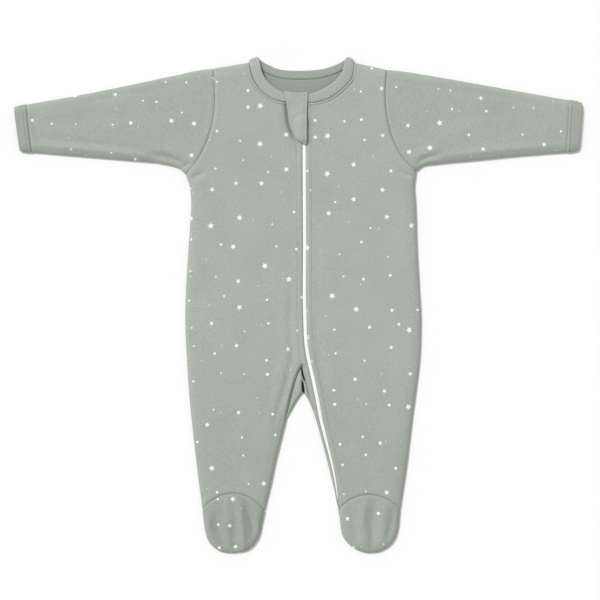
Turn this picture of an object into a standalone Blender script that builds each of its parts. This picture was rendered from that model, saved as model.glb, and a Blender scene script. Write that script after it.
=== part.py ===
"""Footed baby sleepsuit with a zip down one leg, laid flat on its back, as the pieces sewn together.

Sizes are in millimetres. +X runs to the wearer's left sleeve, +Y to the neck and +Z up from the surface.
Each piece is a closed wall of cloth. Sewn pieces stand SEAM apart. "right" and "left" are the wearer's.
"""

from math import cos, exp, hypot, pi, sin

import bpy

# Walls
CLOTH = 1.3  # one layer of jersey
BAND = 1.9  # the doubled jersey of cuffs and neck binding
PLACKET = 0.4  # extra thickness where a front is folded under beside the zip
SEAM = 0.3  # gap between sewn pieces

# Heights of the undersides above the surface
CURL = 0.8  # how far the back lifts at its edge
CURL_REACH = 6.0
EDGE = CURL + CLOTH + SEAM  # the upper layer where it meets the edge of the back
UPPER = 4.6  # the upper layer inside the edge
ROLL = 12.0  # how far in from the edge it reaches that height

SLEEVE_HEIGHT = 5.9
CUFF_HEIGHT = 6.3
TUBE_ROLL = 11.0  # how far in a flattened tube reaches its full height
TUBE_FOOT = 4.5  # how far in it touches the surface

FOOT_UPPER = 5.0
HEEL_RISE = 13.0  # the heel seam arches this far above its ends
ANKLE_RISE = {"right": 18.6, "left": 16.2}  # the same for the seam of the foot top

FOLD_RADIUS = 1.25  # of the neck binding's middle surface over each shoulder

# The fronts stand further from the zip where it bends towards the leg
BEND_CLEAR = 0.25
BEND_Y = -58.0
BEND_REACH = 32.0

# The slider, under the guard
SLIDER_Y = 190.0
SLIDER_LENGTH = 9.0
SLIDER_WIDTH = 6.6
SLIDER_THICK = 1.5
PULL_LENGTH = 7.0
PULL_WIDTH = 4.0
PULL_THICK = 0.9
GUARD_BUMP = 1.7  # how far the guard lifts over it

COLOURS = {
    "jersey": (0.36, 0.45, 0.35, 1.0),
    "plain": (0.33, 0.42, 0.32, 1.0),
    "zip": (0.90, 0.91, 0.90, 1.0),
    "slider": (0.86, 0.87, 0.86, 1.0),
}


def table(columns, *rows):
    """Rows as dictionaries with the named columns."""
    names = columns.split()
    return [dict(zip(names, row)) for row in rows]


ARMHOLES = table(
    "place right_x right_y left_x left_y",
    ("shoulder", -93.5, 260.6, 97.8, 259.2),
    ("upper", -91.7, 240.0, 95.9, 236.0),
    ("middle", -91.5, 221.0, 96.8, 215.0),
    ("lower", -94.2, 200.0, 100.2, 196.5),
    ("turn", -100.7, 179.0, 106.2, 178.5),
    ("under", -111.4, 158.8, 115.8, 162.0),
    ("underarm", -123.4, 144.0, 130.0, 148.0),
)

SIDES = table(
    "place y right_x left_x",
    ("chest", 131.0, -119.0, 128.0),
    ("ribs", 117.0, -117.4, 129.0),
    ("waist", 94.0, -118.3, 130.0),
    ("belly", 62.0, -120.4, 130.9),
    ("hip", 22.0, -122.9, 133.2),
    ("seat", -20.0, -123.9, 135.2),
    ("thigh", -61.0, -122.0, 133.6),
    ("lower thigh", -99.0, -119.5, 129.0),
    ("knee", -126.0, -116.9, 125.4),
    ("shin", -173.0, -111.6, 119.8),
    ("lower shin", -204.0, -107.7, 115.3),
    ("ankle", -225.0, -104.9, 112.0),
)

FRONT_INSEAMS = table(
    "place y right_x left_x",
    ("crotch", -66.0, 5.0, 5.0),
    ("under crotch", -72.0, 1.0, 5.6),
    ("top of leg", -80.0, -2.3, 7.7),
    ("thigh", -94.0, -6.3, 11.2),
    ("lower thigh", -110.0, -10.3, 15.6),
    ("knee", -127.0, -13.9, 20.4),
    ("calf", -144.0, -18.0, 25.2),
    ("shin", -169.0, -24.2, 31.8),
    ("lower shin", -199.0, -30.6, 39.2),
    ("ankle", -226.0, -37.3, 46.2),
)

BACK_INSEAMS = table(
    "place y right_x left_x",
    ("crotch", -96.0, 5.6, 5.6),
    ("under crotch", -99.5, 2.6, 8.7),
    ("top of leg", -105.0, -1.2, 12.0),
    ("thigh", -115.0, -7.0, 16.3),
    ("knee", -127.0, -13.3, 20.4),
    ("calf", -144.0, -18.0, 25.2),
    ("shin", -169.0, -24.2, 31.8),
    ("lower shin", -199.0, -30.6, 39.2),
    ("heel", -236.0, -39.6, 46.8),
)

TOES = table(
    "place right_x right_y left_x left_y",
    ("outer ankle", -104.9, -225.0, 112.0, -225.0),
    ("outer heel", -104.0, -234.0, 111.2, -234.0),
    ("outer side", -102.2, -248.0, 109.7, -248.0),
    ("outer ball", -97.6, -261.0, 104.8, -260.0),
    ("outer toe", -88.0, -269.8, 96.0, -268.2),
    ("toe", -70.8, -272.5, 78.0, -272.5),
    ("inner toe", -54.5, -268.8, 61.0, -267.0),
    ("inner ball", -44.5, -257.5, 51.0, -256.8),
    ("inner heel", -39.7, -239.0, 46.8, -239.0),
    ("inner ankle", -37.3, -226.0, 46.2, -224.0),
)

# The seam of the neck binding with the panels, and its free edge round the opening
FRONT_NECK = {
    "right": table(
        "place seam_x seam_y edge_x edge_y",
        ("shoulder", -53.6, 267.2, -42.4, 271.1),
        ("side", -50.7, 253.6, -39.3, 256.4),
        ("turn", -43.2, 239.4, -31.8, 245.0),
        ("front", -27.6, 227.2, -20.4, 236.0),
        ("near zip", -11.0, 223.4, -8.6, 233.0),
        ("zip", 4.2, 222.5, 4.2, 232.4),
    ),
    "left": table(
        "place seam_x seam_y edge_x edge_y",
        ("shoulder", 61.6, 267.2, 52.2, 271.0),
        ("side", 59.6, 251.0, 48.3, 256.8),
        ("turn", 49.6, 238.8, 39.8, 246.0),
        ("front", 35.0, 228.2, 28.0, 238.4),
        ("near zip", 22.0, 223.8, 18.6, 234.2),
        ("zip", 9.8, 222.5, 9.8, 232.6),
    ),
}

BACK_NECK = table(
    "place seam_x seam_y edge_x edge_y",
    ("right shoulder", -53.6, 267.2, -42.4, 271.1),
    ("right side", -40.9, 259.2, -35.2, 266.6),
    ("right back", -25.0, 252.0, -22.0, 260.9),
    ("centre", 4.0, 249.0, 4.0, 258.9),
    ("left back", 31.0, 251.8, 28.6, 261.1),
    ("left side", 48.6, 258.4, 43.2, 266.0),
    ("left shoulder", 61.6, 267.2, 52.2, 271.0),
)

SLEEVES = {
    "right": table(
        "place top_x top_y under_x under_y",
        ("armhole", -93.9, 260.8, -123.9, 144.2),
        ("upper arm", -106.0, 259.4, -130.0, 150.4),
        ("above elbow", -135.0, 253.4, -147.0, 155.8),
        ("elbow", -178.0, 244.2, -184.0, 159.8),
        ("forearm", -232.0, 233.2, -236.0, 164.2),
        ("wrist", -299.2, 221.2, -293.0, 169.0),
    ),
    "left": table(
        "place top_x top_y under_x under_y",
        ("armhole", 98.3, 259.4, 130.5, 148.2),
        ("upper arm", 112.0, 258.2, 137.0, 153.4),
        ("above elbow", 142.0, 253.6, 153.0, 156.0),
        ("elbow", 186.0, 246.0, 192.0, 159.8),
        ("forearm", 240.0, 236.4, 244.0, 165.0),
        ("wrist", 299.0, 226.0, 295.7, 169.0),
    ),
}

CUFFS = {
    "right": table(
        "place top_x top_y under_x under_y",
        ("seam", -299.55, 221.8, -293.3, 168.4),
        ("middle", -306.6, 220.4, -300.2, 168.9),
        ("edge", -313.0, 218.4, -306.6, 169.8),
    ),
    "left": table(
        "place top_x top_y under_x under_y",
        ("seam", 299.35, 226.6, 296.05, 168.4),
        ("middle", 306.6, 225.4, 302.8, 169.2),
        ("edge", 313.0, 223.4, 309.0, 170.6),
    ),
}

# x is the middle of the coil and coil half its width. The tapes reach that far past it under each front, and
# depth is how far the zip's underside lies below that of the fronts.
ZIP = table(
    "place y x coil tape_right tape_left depth",
    ("neck", 229.0, 7.0, 2.2, 5.0, 5.0, 1.35),
    ("chest", 160.0, 7.1, 2.2, 5.0, 5.0, 1.35),
    ("belly", 72.0, 7.5, 2.2, 5.0, 5.0, 1.35),
    ("hip", -16.0, 7.8, 2.2, 5.0, 5.0, 1.35),
    ("seat", -42.0, 9.1, 2.2, 5.0, 5.0, 1.35),
    ("crotch", -60.0, 12.0, 2.2, 4.0, 5.0, 1.6),
    ("top of leg", -76.0, 15.6, 2.2, 4.0, 5.0, 1.6),
    ("thigh", -94.0, 19.4, 2.2, 2.6, 5.0, 1.4),
    ("lower thigh", -110.0, 22.6, 2.2, 1.4, 5.0, 1.3),
    ("knee", -127.0, 25.9, 2.0, 0.15, 5.0, 1.2),
    ("calf", -144.0, 30.1, 1.75, 0.15, 2.5, 0.8),
    ("shin", -166.0, 35.6, 1.4, 0.12, 0.12, 0.5),
    ("lower shin", -192.0, 41.1, 1.1, 0.12, 0.12, 0.1),
    ("ankle", -214.0, 44.1, 0.6, 0.12, 0.12, 0.0),
)

# The guard lies on the fronts and turns down over the binding at its top
GUARD = table(
    "place y left_x right_x",
    ("binding", 231.6, -14.6, 11.4),
    ("neck seam", 222.0, -12.4, 10.7),
    ("upper", 212.0, -11.0, 10.3),
    ("middle", 201.0, -9.7, 10.2),
    ("lower", 191.0, -6.4, 10.2),
    ("round", 184.0, -2.4, 10.2),
    ("turn", 179.5, 2.6, 10.2),
    ("tip", 177.0, 7.0, 9.8),
)
GUARD_LIFT = BAND + SEAM  # of its underside over those of the fronts
GUARD_LIP = 3.4  # how far it turns down inside the neck opening

# Soft ridges in the upper layer: the ends of each, how wide and how high
FOLDS = table(
    "place x0 y0 x1 y1 width height",
    ("beside zip", -6.5, 20.0, -6.5, -52.0, 6.0, 0.7),
    ("right belly", -40.0, 60.0, -34.0, -40.0, 12.0, 0.5),
    ("right thigh", -4.0, -62.0, -30.0, -150.0, 8.0, 0.9),
    ("right outer thigh", -78.0, -60.0, -84.0, -170.0, 12.0, 0.7),
    ("right underarm", -116.0, 142.0, -70.0, 170.0, 9.0, 0.7),
    ("left belly", 58.0, 70.0, 62.0, -30.0, 13.0, 0.5),
    ("left thigh", 26.0, -72.0, 60.0, -128.0, 8.0, 0.9),
    ("left outer thigh", 96.0, -50.0, 92.0, -170.0, 12.0, 0.7),
    ("left underarm", 122.0, 146.0, 78.0, 172.0, 9.0, 0.7),
    ("right foot", -72.0, -216.0, -71.0, -258.0, 9.0, 1.0),
    ("left foot", 90.0, -218.0, 88.0, -258.0, 8.0, 1.0),
    ("inner left foot", 68.0, -218.0, 67.0, -256.0, 7.0, 0.8),
)

TAPE_THICKEST = 1.0
TAPE_THINNEST = 0.3
COIL_EDGE = 0.8  # the coil's edges and crown over the fronts' undersides
COIL_CROWN = 1.1
TAIL_END = -163.0  # where the strip of the right front beside the coil ends

# How far along each piece its rows and columns of points lie
ARM_STEPS = (0.0, 0.025, 0.07, 0.14, 0.22, 0.31, 0.40, 0.49, 0.58, 0.67, 0.76, 0.85, 0.92, 0.97, 1.0)
SIDE_STEPS = 11
LEG_STEPS = 9
SHOULDER_COLUMNS = 4
NECK_COLUMNS = 7
BACK_NECK_COLUMNS = 8
SLEEVE_STEPS = (0.0, 0.08, 0.2, 0.38, 0.6, 0.82, 1.0)
FOOT_STEPS = 5
GUARD_COLUMNS = 5
ZIP_STEP = 18.0
ZIP_STEP_AT_BEND = 8.0
TOE_SPAN = (0.3, 0.7)  # the stretch of a foot's outline that is its toe

# Across a front, from the side seam to the fold beside the zip; the last column is the placket
LEG_COLUMNS = (0.0, 0.025, 0.07, 0.14, 0.25, 0.39, 0.54, 0.69, 0.83, 0.93, 1.0)
PLACKET_WIDTH = 8.0

# Across half of the back and across a sole, from the side seam
BACK_COLUMNS = (0.0, 0.03, 0.1, 0.25, 0.45, 0.65, 0.83, 1.0)


# Curves


def mix(a, b, share):
    return tuple(u + (v - u) * share for u, v in zip(a, b))


def ease(value):
    value = min(max(value, 0.0), 1.0)
    return value * value * (3.0 - 2.0 * value)


def smooth(points, steps=10):
    """A fine polyline that bends evenly through the points."""
    spans = [max(hypot(b[0] - a[0], b[1] - a[1]), 1e-6) for a, b in zip(points, points[1:])]
    rates = [tuple((v - u) / span for u, v in zip(a, b)) for a, b, span in zip(points, points[1:], spans)]
    slopes = [rates[0]]
    for before, after, s0, s1 in zip(rates, rates[1:], spans, spans[1:]):
        slopes.append(mix(before, after, s0 / (s0 + s1)))
    slopes.append(rates[-1])
    line = [points[0]]
    for i, span in enumerate(spans):
        for k in range(1, steps + 1):
            t = k / steps
            start = 2 * t**3 - 3 * t**2 + 1
            leave = (t**3 - 2 * t**2 + t) * span
            end = 3 * t**2 - 2 * t**3
            arrive = (t**3 - t**2) * span
            rows = zip(points[i], slopes[i], points[i + 1], slopes[i + 1])
            line.append(tuple(p * start + m * leave + q * end + n * arrive for p, m, q, n in rows))
    return line


def walk(line, shares):
    """The points at these shares of a polyline's length."""
    ends = [0.0]
    for a, b in zip(line, line[1:]):
        ends.append(ends[-1] + hypot(b[0] - a[0], b[1] - a[1]))
    found = []
    i = 0
    for share in shares:
        goal = share * ends[-1]
        while i < len(line) - 2 and ends[i + 1] < goal:
            i += 1
        found.append(mix(line[i], line[i + 1], (goal - ends[i]) / max(ends[i + 1] - ends[i], 1e-9)))
    return found


def even(count):
    return [i / count for i in range(count + 1)]


def x_at(line, y):
    """Where a line that runs down the garment passes this height."""
    for a, b in zip(line, line[1:]):
        if b[1] <= y <= a[1]:
            return a[0] + (b[0] - a[0]) * (a[1] - y) / max(a[1] - b[1], 1e-9)
    return line[0][0] if y > line[0][1] else line[-1][0]


def y_at(line, x):
    """Where a line that runs across the garment passes this x."""
    for a, b in zip(line, line[1:]):
        if a[0] <= x <= b[0]:
            return a[1] + (b[1] - a[1]) * (x - a[0]) / max(b[0] - a[0], 1e-9)
    return line[0][1] if x < line[0][0] else line[-1][1]


def distance(x, y, line):
    best = 1e9
    for (ax, ay), (bx, by) in zip(line, line[1:]):
        ux, uy = bx - ax, by - ay
        t = ((x - ax) * ux + (y - ay) * uy) / max(ux * ux + uy * uy, 1e-9)
        t = min(max(t, 0.0), 1.0)
        best = min(best, hypot(x - ax - t * ux, y - ay - t * uy))
    return best


def arch(start, end, rise, shares):
    """Points from start to end along a full round arch."""
    found = []
    for share in shares:
        x, y = mix(start, end, share)
        found.append((x, y + rise * max(sin(pi * share), 0.0) ** 0.7))
    return found


SIDE_NAMES = ("right", "left")
ARMHOLE = {s: smooth([(r[s + "_x"], r[s + "_y"]) for r in ARMHOLES]) for s in SIDE_NAMES}
SIDE = {s: smooth([ARMHOLE[s][-1]] + [(r[s + "_x"], r["y"]) for r in SIDES]) for s in SIDE_NAMES}
FRONT_INSEAM = {s: smooth([(r[s + "_x"], r["y"]) for r in FRONT_INSEAMS]) for s in SIDE_NAMES}
BACK_INSEAM = {s: smooth([(r[s + "_x"], r["y"]) for r in BACK_INSEAMS]) for s in SIDE_NAMES}
TOE = {s: smooth([(r[s + "_x"], r[s + "_y"]) for r in TOES]) for s in SIDE_NAMES}
SHOULDER = {s: [ARMHOLE[s][0], (FRONT_NECK[s][0]["seam_x"], FRONT_NECK[s][0]["seam_y"])] for s in SIDE_NAMES}
ZIP_LINE = smooth([(r["x"], r["y"], r["coil"], r["tape_right"], r["tape_left"], r["depth"]) for r in ZIP])

FRONT_EDGES = [line for s in SIDE_NAMES for line in (SIDE[s], FRONT_INSEAM[s], SHOULDER[s])]
BACK_EDGES = [line for s in SIDE_NAMES for line in (SIDE[s], BACK_INSEAM[s], SHOULDER[s])]


# Heights


def rise(gap, reach):
    """From 0 at an edge to 1 at reach, steepest at the edge."""
    q = min(max(gap / reach, 0.0), 1.0)
    return 1.0 - (1.0 - q) ** 2


def folds(x, y):
    total = 0.0
    for fold in FOLDS:
        away = distance(x, y, [(fold["x0"], fold["y0"]), (fold["x1"], fold["y1"])])
        total += fold["height"] * exp(-((away / fold["width"]) ** 2))
    return total


def upper(x, y):
    """The underside of the layer that lies on top."""
    gap = min(distance(x, y, line) for line in FRONT_EDGES)
    return EDGE + (UPPER - EDGE + folds(x, y)) * rise(gap, ROLL)


def lower(x, y):
    """The underside of the back."""
    gap = min(distance(x, y, line) for line in BACK_EDGES)
    return CURL * (1.0 - rise(gap, CURL_REACH))


def foot_upper(x, y, side):
    gap = distance(x, y, TOE[side])
    return EDGE + (FOOT_UPPER - EDGE + folds(x, y)) * rise(gap, ROLL)


def sole_lower(x, y, side):
    return CURL * (1.0 - rise(distance(x, y, TOE[side]), CURL_REACH))


# Meshes


def material(name, kind):
    made = bpy.data.materials.new(name)
    made.use_nodes = True
    shader = made.node_tree.nodes["Principled BSDF"]
    shader.inputs["Base Color"].default_value = COLOURS[kind]
    shader.inputs["Roughness"].default_value = 0.45 if kind == "slider" else 0.9
    return made


def add_piece(name, points, faces, kind):
    mesh = bpy.data.meshes.new(name)
    triangles = []
    for face in faces:
        for i in range(1, len(face) - 1):
            triangles.append((face[0], face[i], face[i + 1]))
    mesh.from_pydata([tuple(v * 0.001 for v in point) for point in points], [], triangles)
    mesh.materials.append(material(name, kind))
    mesh.polygons.foreach_set("use_smooth", [True] * len(mesh.polygons))
    mesh.update()
    piece = bpy.data.objects.new(name, mesh)
    bpy.context.scene.collection.objects.link(piece)
    return piece


def add_wall(name, cells, below, above, kind):
    """A closed wall. A cell is four keys, anticlockwise from above, each with a point below and above."""
    keys = sorted({key for cell in cells for key in cell})
    low = {key: i for i, key in enumerate(keys)}
    high = {key: i + len(keys) for i, key in enumerate(keys)}
    points = [below[key] for key in keys] + [above[key] for key in keys]
    faces = []
    edges = set()
    for a, b, c, d in cells:
        faces.append((high[a], high[b], high[c], high[d]))
        faces.append((low[d], low[c], low[b], low[a]))
        edges.update(((a, b), (b, c), (c, d), (d, a)))
    for a, b in sorted(edges):
        if (b, a) not in edges:
            faces.append((low[a], low[b], high[b], high[a]))
    return add_piece(name, points, faces, kind)


def add_tube(name, rings, cap, kind):
    """A closed body from rings of points, one after another. cap has the triangles that fill an end."""
    count = len(rings[0])
    points = [point for ring in rings for point in ring]
    faces = []
    for i in range(len(rings) - 1):
        for k in range(count):
            n = (k + 1) % count
            faces.append((i * count + k, i * count + n, (i + 1) * count + n, (i + 1) * count + k))
    last = (len(rings) - 1) * count
    for a, b, c in cap:
        faces.append((c, b, a))
        faces.append((last + a, last + b, last + c))
    return add_piece(name, points, faces, kind)


def fan(count):
    """Triangles that fill an outline that bulges everywhere."""
    return [(0, k, k + 1) for k in range(1, count - 1)]


def cells_between(rows):
    """Cells between rows of keys that run down the garment, each from low x to high x."""
    cells = []
    for above, below in zip(rows, rows[1:]):
        for i in range(len(above) - 1):
            cells.append((below[i], below[i + 1], above[i + 1], above[i]))
    return cells


# Panels


def zip_at(y):
    """The row of the zip's line at this height."""
    for a, b in zip(ZIP_LINE, ZIP_LINE[1:]):
        if b[1] <= y <= a[1]:
            return mix(a, b, (a[1] - y) / max(a[1] - b[1], 1e-9))
    return ZIP_LINE[0] if y > ZIP_LINE[0][1] else ZIP_LINE[-1]


def zip_edge(side, y):
    """The edge of a front beside the zip."""
    sign = -1.0 if side == "right" else 1.0
    centre, _, coil = zip_at(y)[:3]
    clear = SEAM + BEND_CLEAR * exp(-(((y - BEND_Y) / BEND_REACH) ** 2))
    return (centre + sign * (coil + clear), y)


def neck_points(rows, shares):
    line = smooth([(r["seam_x"], r["seam_y"], r["edge_x"], r["edge_y"]) for r in rows])
    return walk(line, shares)


def spread(start, end, first, weight, shares_first, shares_last, blend):
    """One row of points between two ends, which follows the shape of the curved first row by weight."""
    row = []
    for j, point in enumerate(first):
        share = shares_first[j] + (shares_last[j] - shares_first[j]) * blend
        base = mix(start, end, share)
        flat = mix(first[0], first[-1], shares_first[j])
        row.append((base[0] + weight * (point[0] - flat[0]), base[1] + weight * (point[1] - flat[1])))
    return row


def shares_of(points):
    """How far along its chord each point of a row lies."""
    ax, ay = points[0]
    ux, uy = points[-1][0] - ax, points[-1][1] - ay
    size = ux * ux + uy * uy
    return [((x - ax) * ux + (y - ay) * uy) / size for x, y in points]


def front_top(side):
    """The shoulder and neckline of a front, from the armhole to the zip."""
    shoulder = [mix(SHOULDER[side][0], SHOULDER[side][1], t) for t in even(SHOULDER_COLUMNS)]
    neck = [point[:2] for point in neck_points(FRONT_NECK[side], even(NECK_COLUMNS))]
    return shoulder[:-1] + neck


def body_shares(width):
    inner = 1.0 - PLACKET_WIDTH / width
    return [share * inner for share in LEG_COLUMNS] + [1.0]


def front_body(side):
    """Rows of a front from the shoulder to the crotch, each from the side to the zip."""
    top = front_top(side)
    arm = walk(ARMHOLE[side], ARM_STEPS)
    under_y = arm[-1][1]
    neck_y = top[-1][1]
    crotch_y = FRONT_INSEAMS[0]["y"]
    ends = []
    for i, share in enumerate(ARM_STEPS):
        ends.append((arm[i], zip_edge(side, neck_y + (under_y - neck_y) * share)))
    for share in even(SIDE_STEPS)[1:]:
        y = under_y + (crotch_y - under_y) * share
        ends.append(((x_at(SIDE[side], y), y), zip_edge(side, y)))
    ends[0] = (top[0], top[-1])
    rows = []
    for i, (outer, inner) in enumerate(ends):
        progress = min(i / (len(ARM_STEPS) - 1), 1.0)
        width = abs(inner[0] - outer[0])
        weight = (1.0 - ease(progress)) if i else 1.0
        shares = body_shares(width)
        rows.append(spread(outer, inner, top, weight, shares_of(top), shares, ease(progress)))
    return rows


def ankle_row(side, shares):
    outer = (SIDES[-1][side + "_x"], SIDES[-1]["y"])
    inner = (FRONT_INSEAMS[-1][side + "_x"], TOES[-1][side + "_y"])
    return arch(outer, inner, ANKLE_RISE[side], shares)


def leg_rows(first, outer_line, inner_at, last, steps):
    """Rows of a leg below its first row, from its outer line to its inner one, down to a curved last row."""
    start_y = first[0][1]
    first_shares = shares_of(first)
    last_shares = shares_of(last)
    rows = []
    for k in range(1, steps + 1):
        progress = k / steps
        outer_y = start_y + (last[0][1] - start_y) * progress
        inner_y = first[-1][1] + (last[-1][1] - first[-1][1]) * progress
        outer = (x_at(outer_line, outer_y), outer_y)
        inner = inner_at(inner_y)
        if k == steps:
            rows.append(list(last))
            continue
        weight = ease((progress - 0.3) / 0.7) * progress
        row = []
        for j, point in enumerate(last):
            share = first_shares[j] + (last_shares[j] - first_shares[j]) * ease(progress * 1.6)
            base = mix(outer, inner, share)
            flat = mix(last[0], last[-1], last_shares[j])
            row.append((base[0] + weight * (point[0] - flat[0]), base[1] + weight * (point[1] - flat[1])))
        rows.append(row)
    return rows


def key_rows(rows, tag, side):
    """Names each point by its row and column, and puts each row in order of rising x."""
    points = {}
    keys = []
    for i, row in enumerate(rows):
        names = [(tag, i, j) for j in range(len(row))]
        points.update(zip(names, row))
        keys.append(names if side == "right" else names[::-1])
    return points, keys


def placket(side, x, y):
    """Extra thickness beside the zip."""
    away = abs(x - zip_edge(side, y)[0])
    return PLACKET * (1.0 - ease((away - PLACKET_WIDTH + 2.0) / 4.0))


def add_front(side):
    body = front_body(side)
    points, body_keys = key_rows(body, "body", side)
    cells = cells_between(body_keys)
    crotch = len(body) - 1
    last_column = len(body[0]) - 1

    def inner(y):
        return (x_at(FRONT_INSEAM[side], y), y) if side == "right" else zip_edge(side, y)

    if side == "right":
        # The leg hangs from all columns but the last, and the tail beside the zip from that one
        leg_top = body[-1][:last_column]
        tail = []
        for share in even(6)[1:]:
            y = FRONT_INSEAMS[0]["y"] + (TAIL_END - FRONT_INSEAMS[0]["y"]) * share
            tail.append([(x_at(FRONT_INSEAM["left"], y), y), zip_edge(side, y)])
        tail_points, tail_keys = key_rows(tail, "tail", side)
        points.update(tail_points)
        tail_keys.insert(0, [("body", crotch, last_column - 1), ("body", crotch, last_column)])
        cells += cells_between(tail_keys)
        leg_tops = [("body", crotch, j) for j in range(last_column)]
    else:
        leg_top = body[-1]
        leg_tops = [("body", crotch, j) for j in range(last_column + 1)][::-1]
    leg = leg_rows(leg_top, SIDE[side], inner, ankle_row(side, shares_of(leg_top)), LEG_STEPS)
    leg_points, leg_keys = key_rows(leg, "leg", side)
    points.update(leg_points)
    leg_keys.insert(0, leg_tops)
    cells += cells_between(leg_keys)
    below = {}
    above = {}
    for key, (x, y) in points.items():
        z = upper(x, y)
        below[key] = (x, y, z)
        above[key] = (x, y, z + CLOTH + placket(side, x, y))
    return add_wall("front_" + side, cells, below, above, "jersey")


def add_back():
    neck = [point[:2] for point in neck_points(BACK_NECK, even(BACK_NECK_COLUMNS))]
    right = [mix(SHOULDER["right"][0], SHOULDER["right"][1], t) for t in even(3)[:-1]]
    left = [mix(SHOULDER["left"][0], SHOULDER["left"][1], t) for t in even(3)[:-1]]
    top = right + neck + left[::-1]
    top_shares = shares_of(top)
    half = len(top) // 2
    arms = [walk(ARMHOLE[s], ARM_STEPS) for s in SIDE_NAMES]
    crotch_x, crotch_y = BACK_INSEAMS[0]["right_x"], BACK_INSEAMS[0]["y"]
    ends = list(zip(*arms))
    for share in even(SIDE_STEPS)[1:]:
        row = []
        for side in SIDE_NAMES:
            under_y = ARMHOLE[side][-1][1]
            y = under_y + (crotch_y - under_y) * share
            row.append((x_at(SIDE[side], y), y))
        ends.append(tuple(row))
    body = []
    for i, (start, end) in enumerate(ends):
        progress = ease(i / (len(ARM_STEPS) - 1))
        middle = (crotch_x - start[0]) / (end[0] - start[0])
        inside = [middle * t for t in BACK_COLUMNS]
        inside += [1.0 - (1.0 - middle) * t for t in BACK_COLUMNS[-2::-1]]
        body.append(spread(start, end, top, 1.0 - progress, top_shares, inside, progress))
    points, keys = key_rows(body, "body", "right")
    cells = cells_between(keys)
    crotch = len(body) - 1
    last_column = len(top) - 1
    for side in SIDE_NAMES:
        columns = list(range(half + 1)) if side == "right" else list(range(last_column, half - 1, -1))
        first = [body[-1][j] for j in columns]
        heel = heel_row(side, shares_of(first))

        def inner(y, line=BACK_INSEAM[side]):
            return (x_at(line, y), y)

        leg = leg_rows(first, SIDE[side] + [heel[0]], inner, heel, LEG_STEPS)
        leg_points, leg_keys = key_rows(leg, side, side)
        points.update(leg_points)
        tops = [("body", crotch, j) for j in columns]
        leg_keys.insert(0, tops if side == "right" else tops[::-1])
        cells += cells_between(leg_keys)
    below = {}
    above = {}
    for key, (x, y) in points.items():
        z = lower(x, y)
        below[key] = (x, y, z)
        above[key] = (x, y, z + CLOTH)
    return add_wall("back", cells, below, above, "jersey")


def at_row(rows, place, side):
    row = next(r for r in rows if r["place"] == place)
    return (row[side + "_x"], row[side + "_y"])


def heel_row(side, shares):
    return arch(at_row(TOES, "outer heel", side), at_row(TOES, "inner heel", side), HEEL_RISE, shares)


# Feet


def toe_line(side, start, end):
    """The foot's outline between two places."""
    line = TOE[side]

    def index_near(place):
        return min(range(len(line)), key=lambda i: hypot(line[i][0] - place[0], line[i][1] - place[1]))

    return line[index_near(start) : index_near(end) + 1]


def foot_rows(side, top):
    """Rows from the curved top of a foot piece round to the toe, inside the foot's outline."""
    outline = toe_line(side, top[0], top[-1])
    outline[0], outline[-1] = top[0], top[-1]
    toe_start, toe_end = TOE_SPAN
    outer = walk(outline, [toe_start * t for t in even(FOOT_STEPS)])
    inner = walk(outline, [1.0 - (1.0 - toe_end) * t for t in reversed(even(FOOT_STEPS))])[::-1]
    shares = shares_of(top)
    bottom = walk(outline, [toe_start + (toe_end - toe_start) * t for t in shares])
    rows = []
    for i, t in enumerate(even(FOOT_STEPS)):
        row = []
        for j, share in enumerate(shares):
            across = mix(outer[i], inner[i], share)
            down = mix(top[j], bottom[j], t)
            corner = mix(mix(top[0], top[-1], share), mix(bottom[0], bottom[-1], share), t)
            row.append((across[0] + down[0] - corner[0], across[1] + down[1] - corner[1]))
        rows.append(row)
    return rows


def add_foot(side):
    body = front_body(side)
    leg_top = body[-1][:-1] if side == "right" else body[-1]
    ankle = [(x, y - 1.5 * SEAM) for x, y in ankle_row(side, shares_of(leg_top))]
    points, keys = key_rows(foot_rows(side, ankle), "foot", side)
    below = {key: (x, y, foot_upper(x, y, side)) for key, (x, y) in points.items()}
    above = {key: (x, y, z + CLOTH) for key, (x, y, z) in below.items()}
    add_wall("foot_top_" + side, cells_between(keys), below, above, "jersey")

    heel = [(x, y - 1.5 * SEAM) for x, y in heel_row(side, BACK_COLUMNS)]
    points, keys = key_rows(foot_rows(side, heel), "sole", side)
    below = {key: (x, y, sole_lower(x, y, side)) for key, (x, y) in points.items()}
    above = {key: (x, y, z + CLOTH) for key, (x, y, z) in below.items()}
    add_wall("sole_" + side, cells_between(keys), below, above, "jersey")


# Sleeves and cuffs


def ring(across, width, height, wall):
    """A flattened ring over a row of plan points. across gives the point at a share of the row's width."""
    middle = height * 0.43
    points = []
    shares = ARM_STEPS
    half = width / 2.0
    squeeze = (half - wall) / half
    top = height - wall
    foot = wall
    for upward in (True, False):
        order = shares if upward else shares[-2:0:-1]
        for share in order:
            spot = 0.5 + (share - 0.5) * squeeze
            gap = min(share, 1.0 - share) * width * squeeze
            if upward:
                z = middle + (top - middle) * rise(gap, TUBE_ROLL - wall)
            else:
                z = middle + (foot - middle) * rise(gap, TUBE_FOOT - wall)
            x, y = across(spot)
            points.append((x, y, z))
    return points


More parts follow.
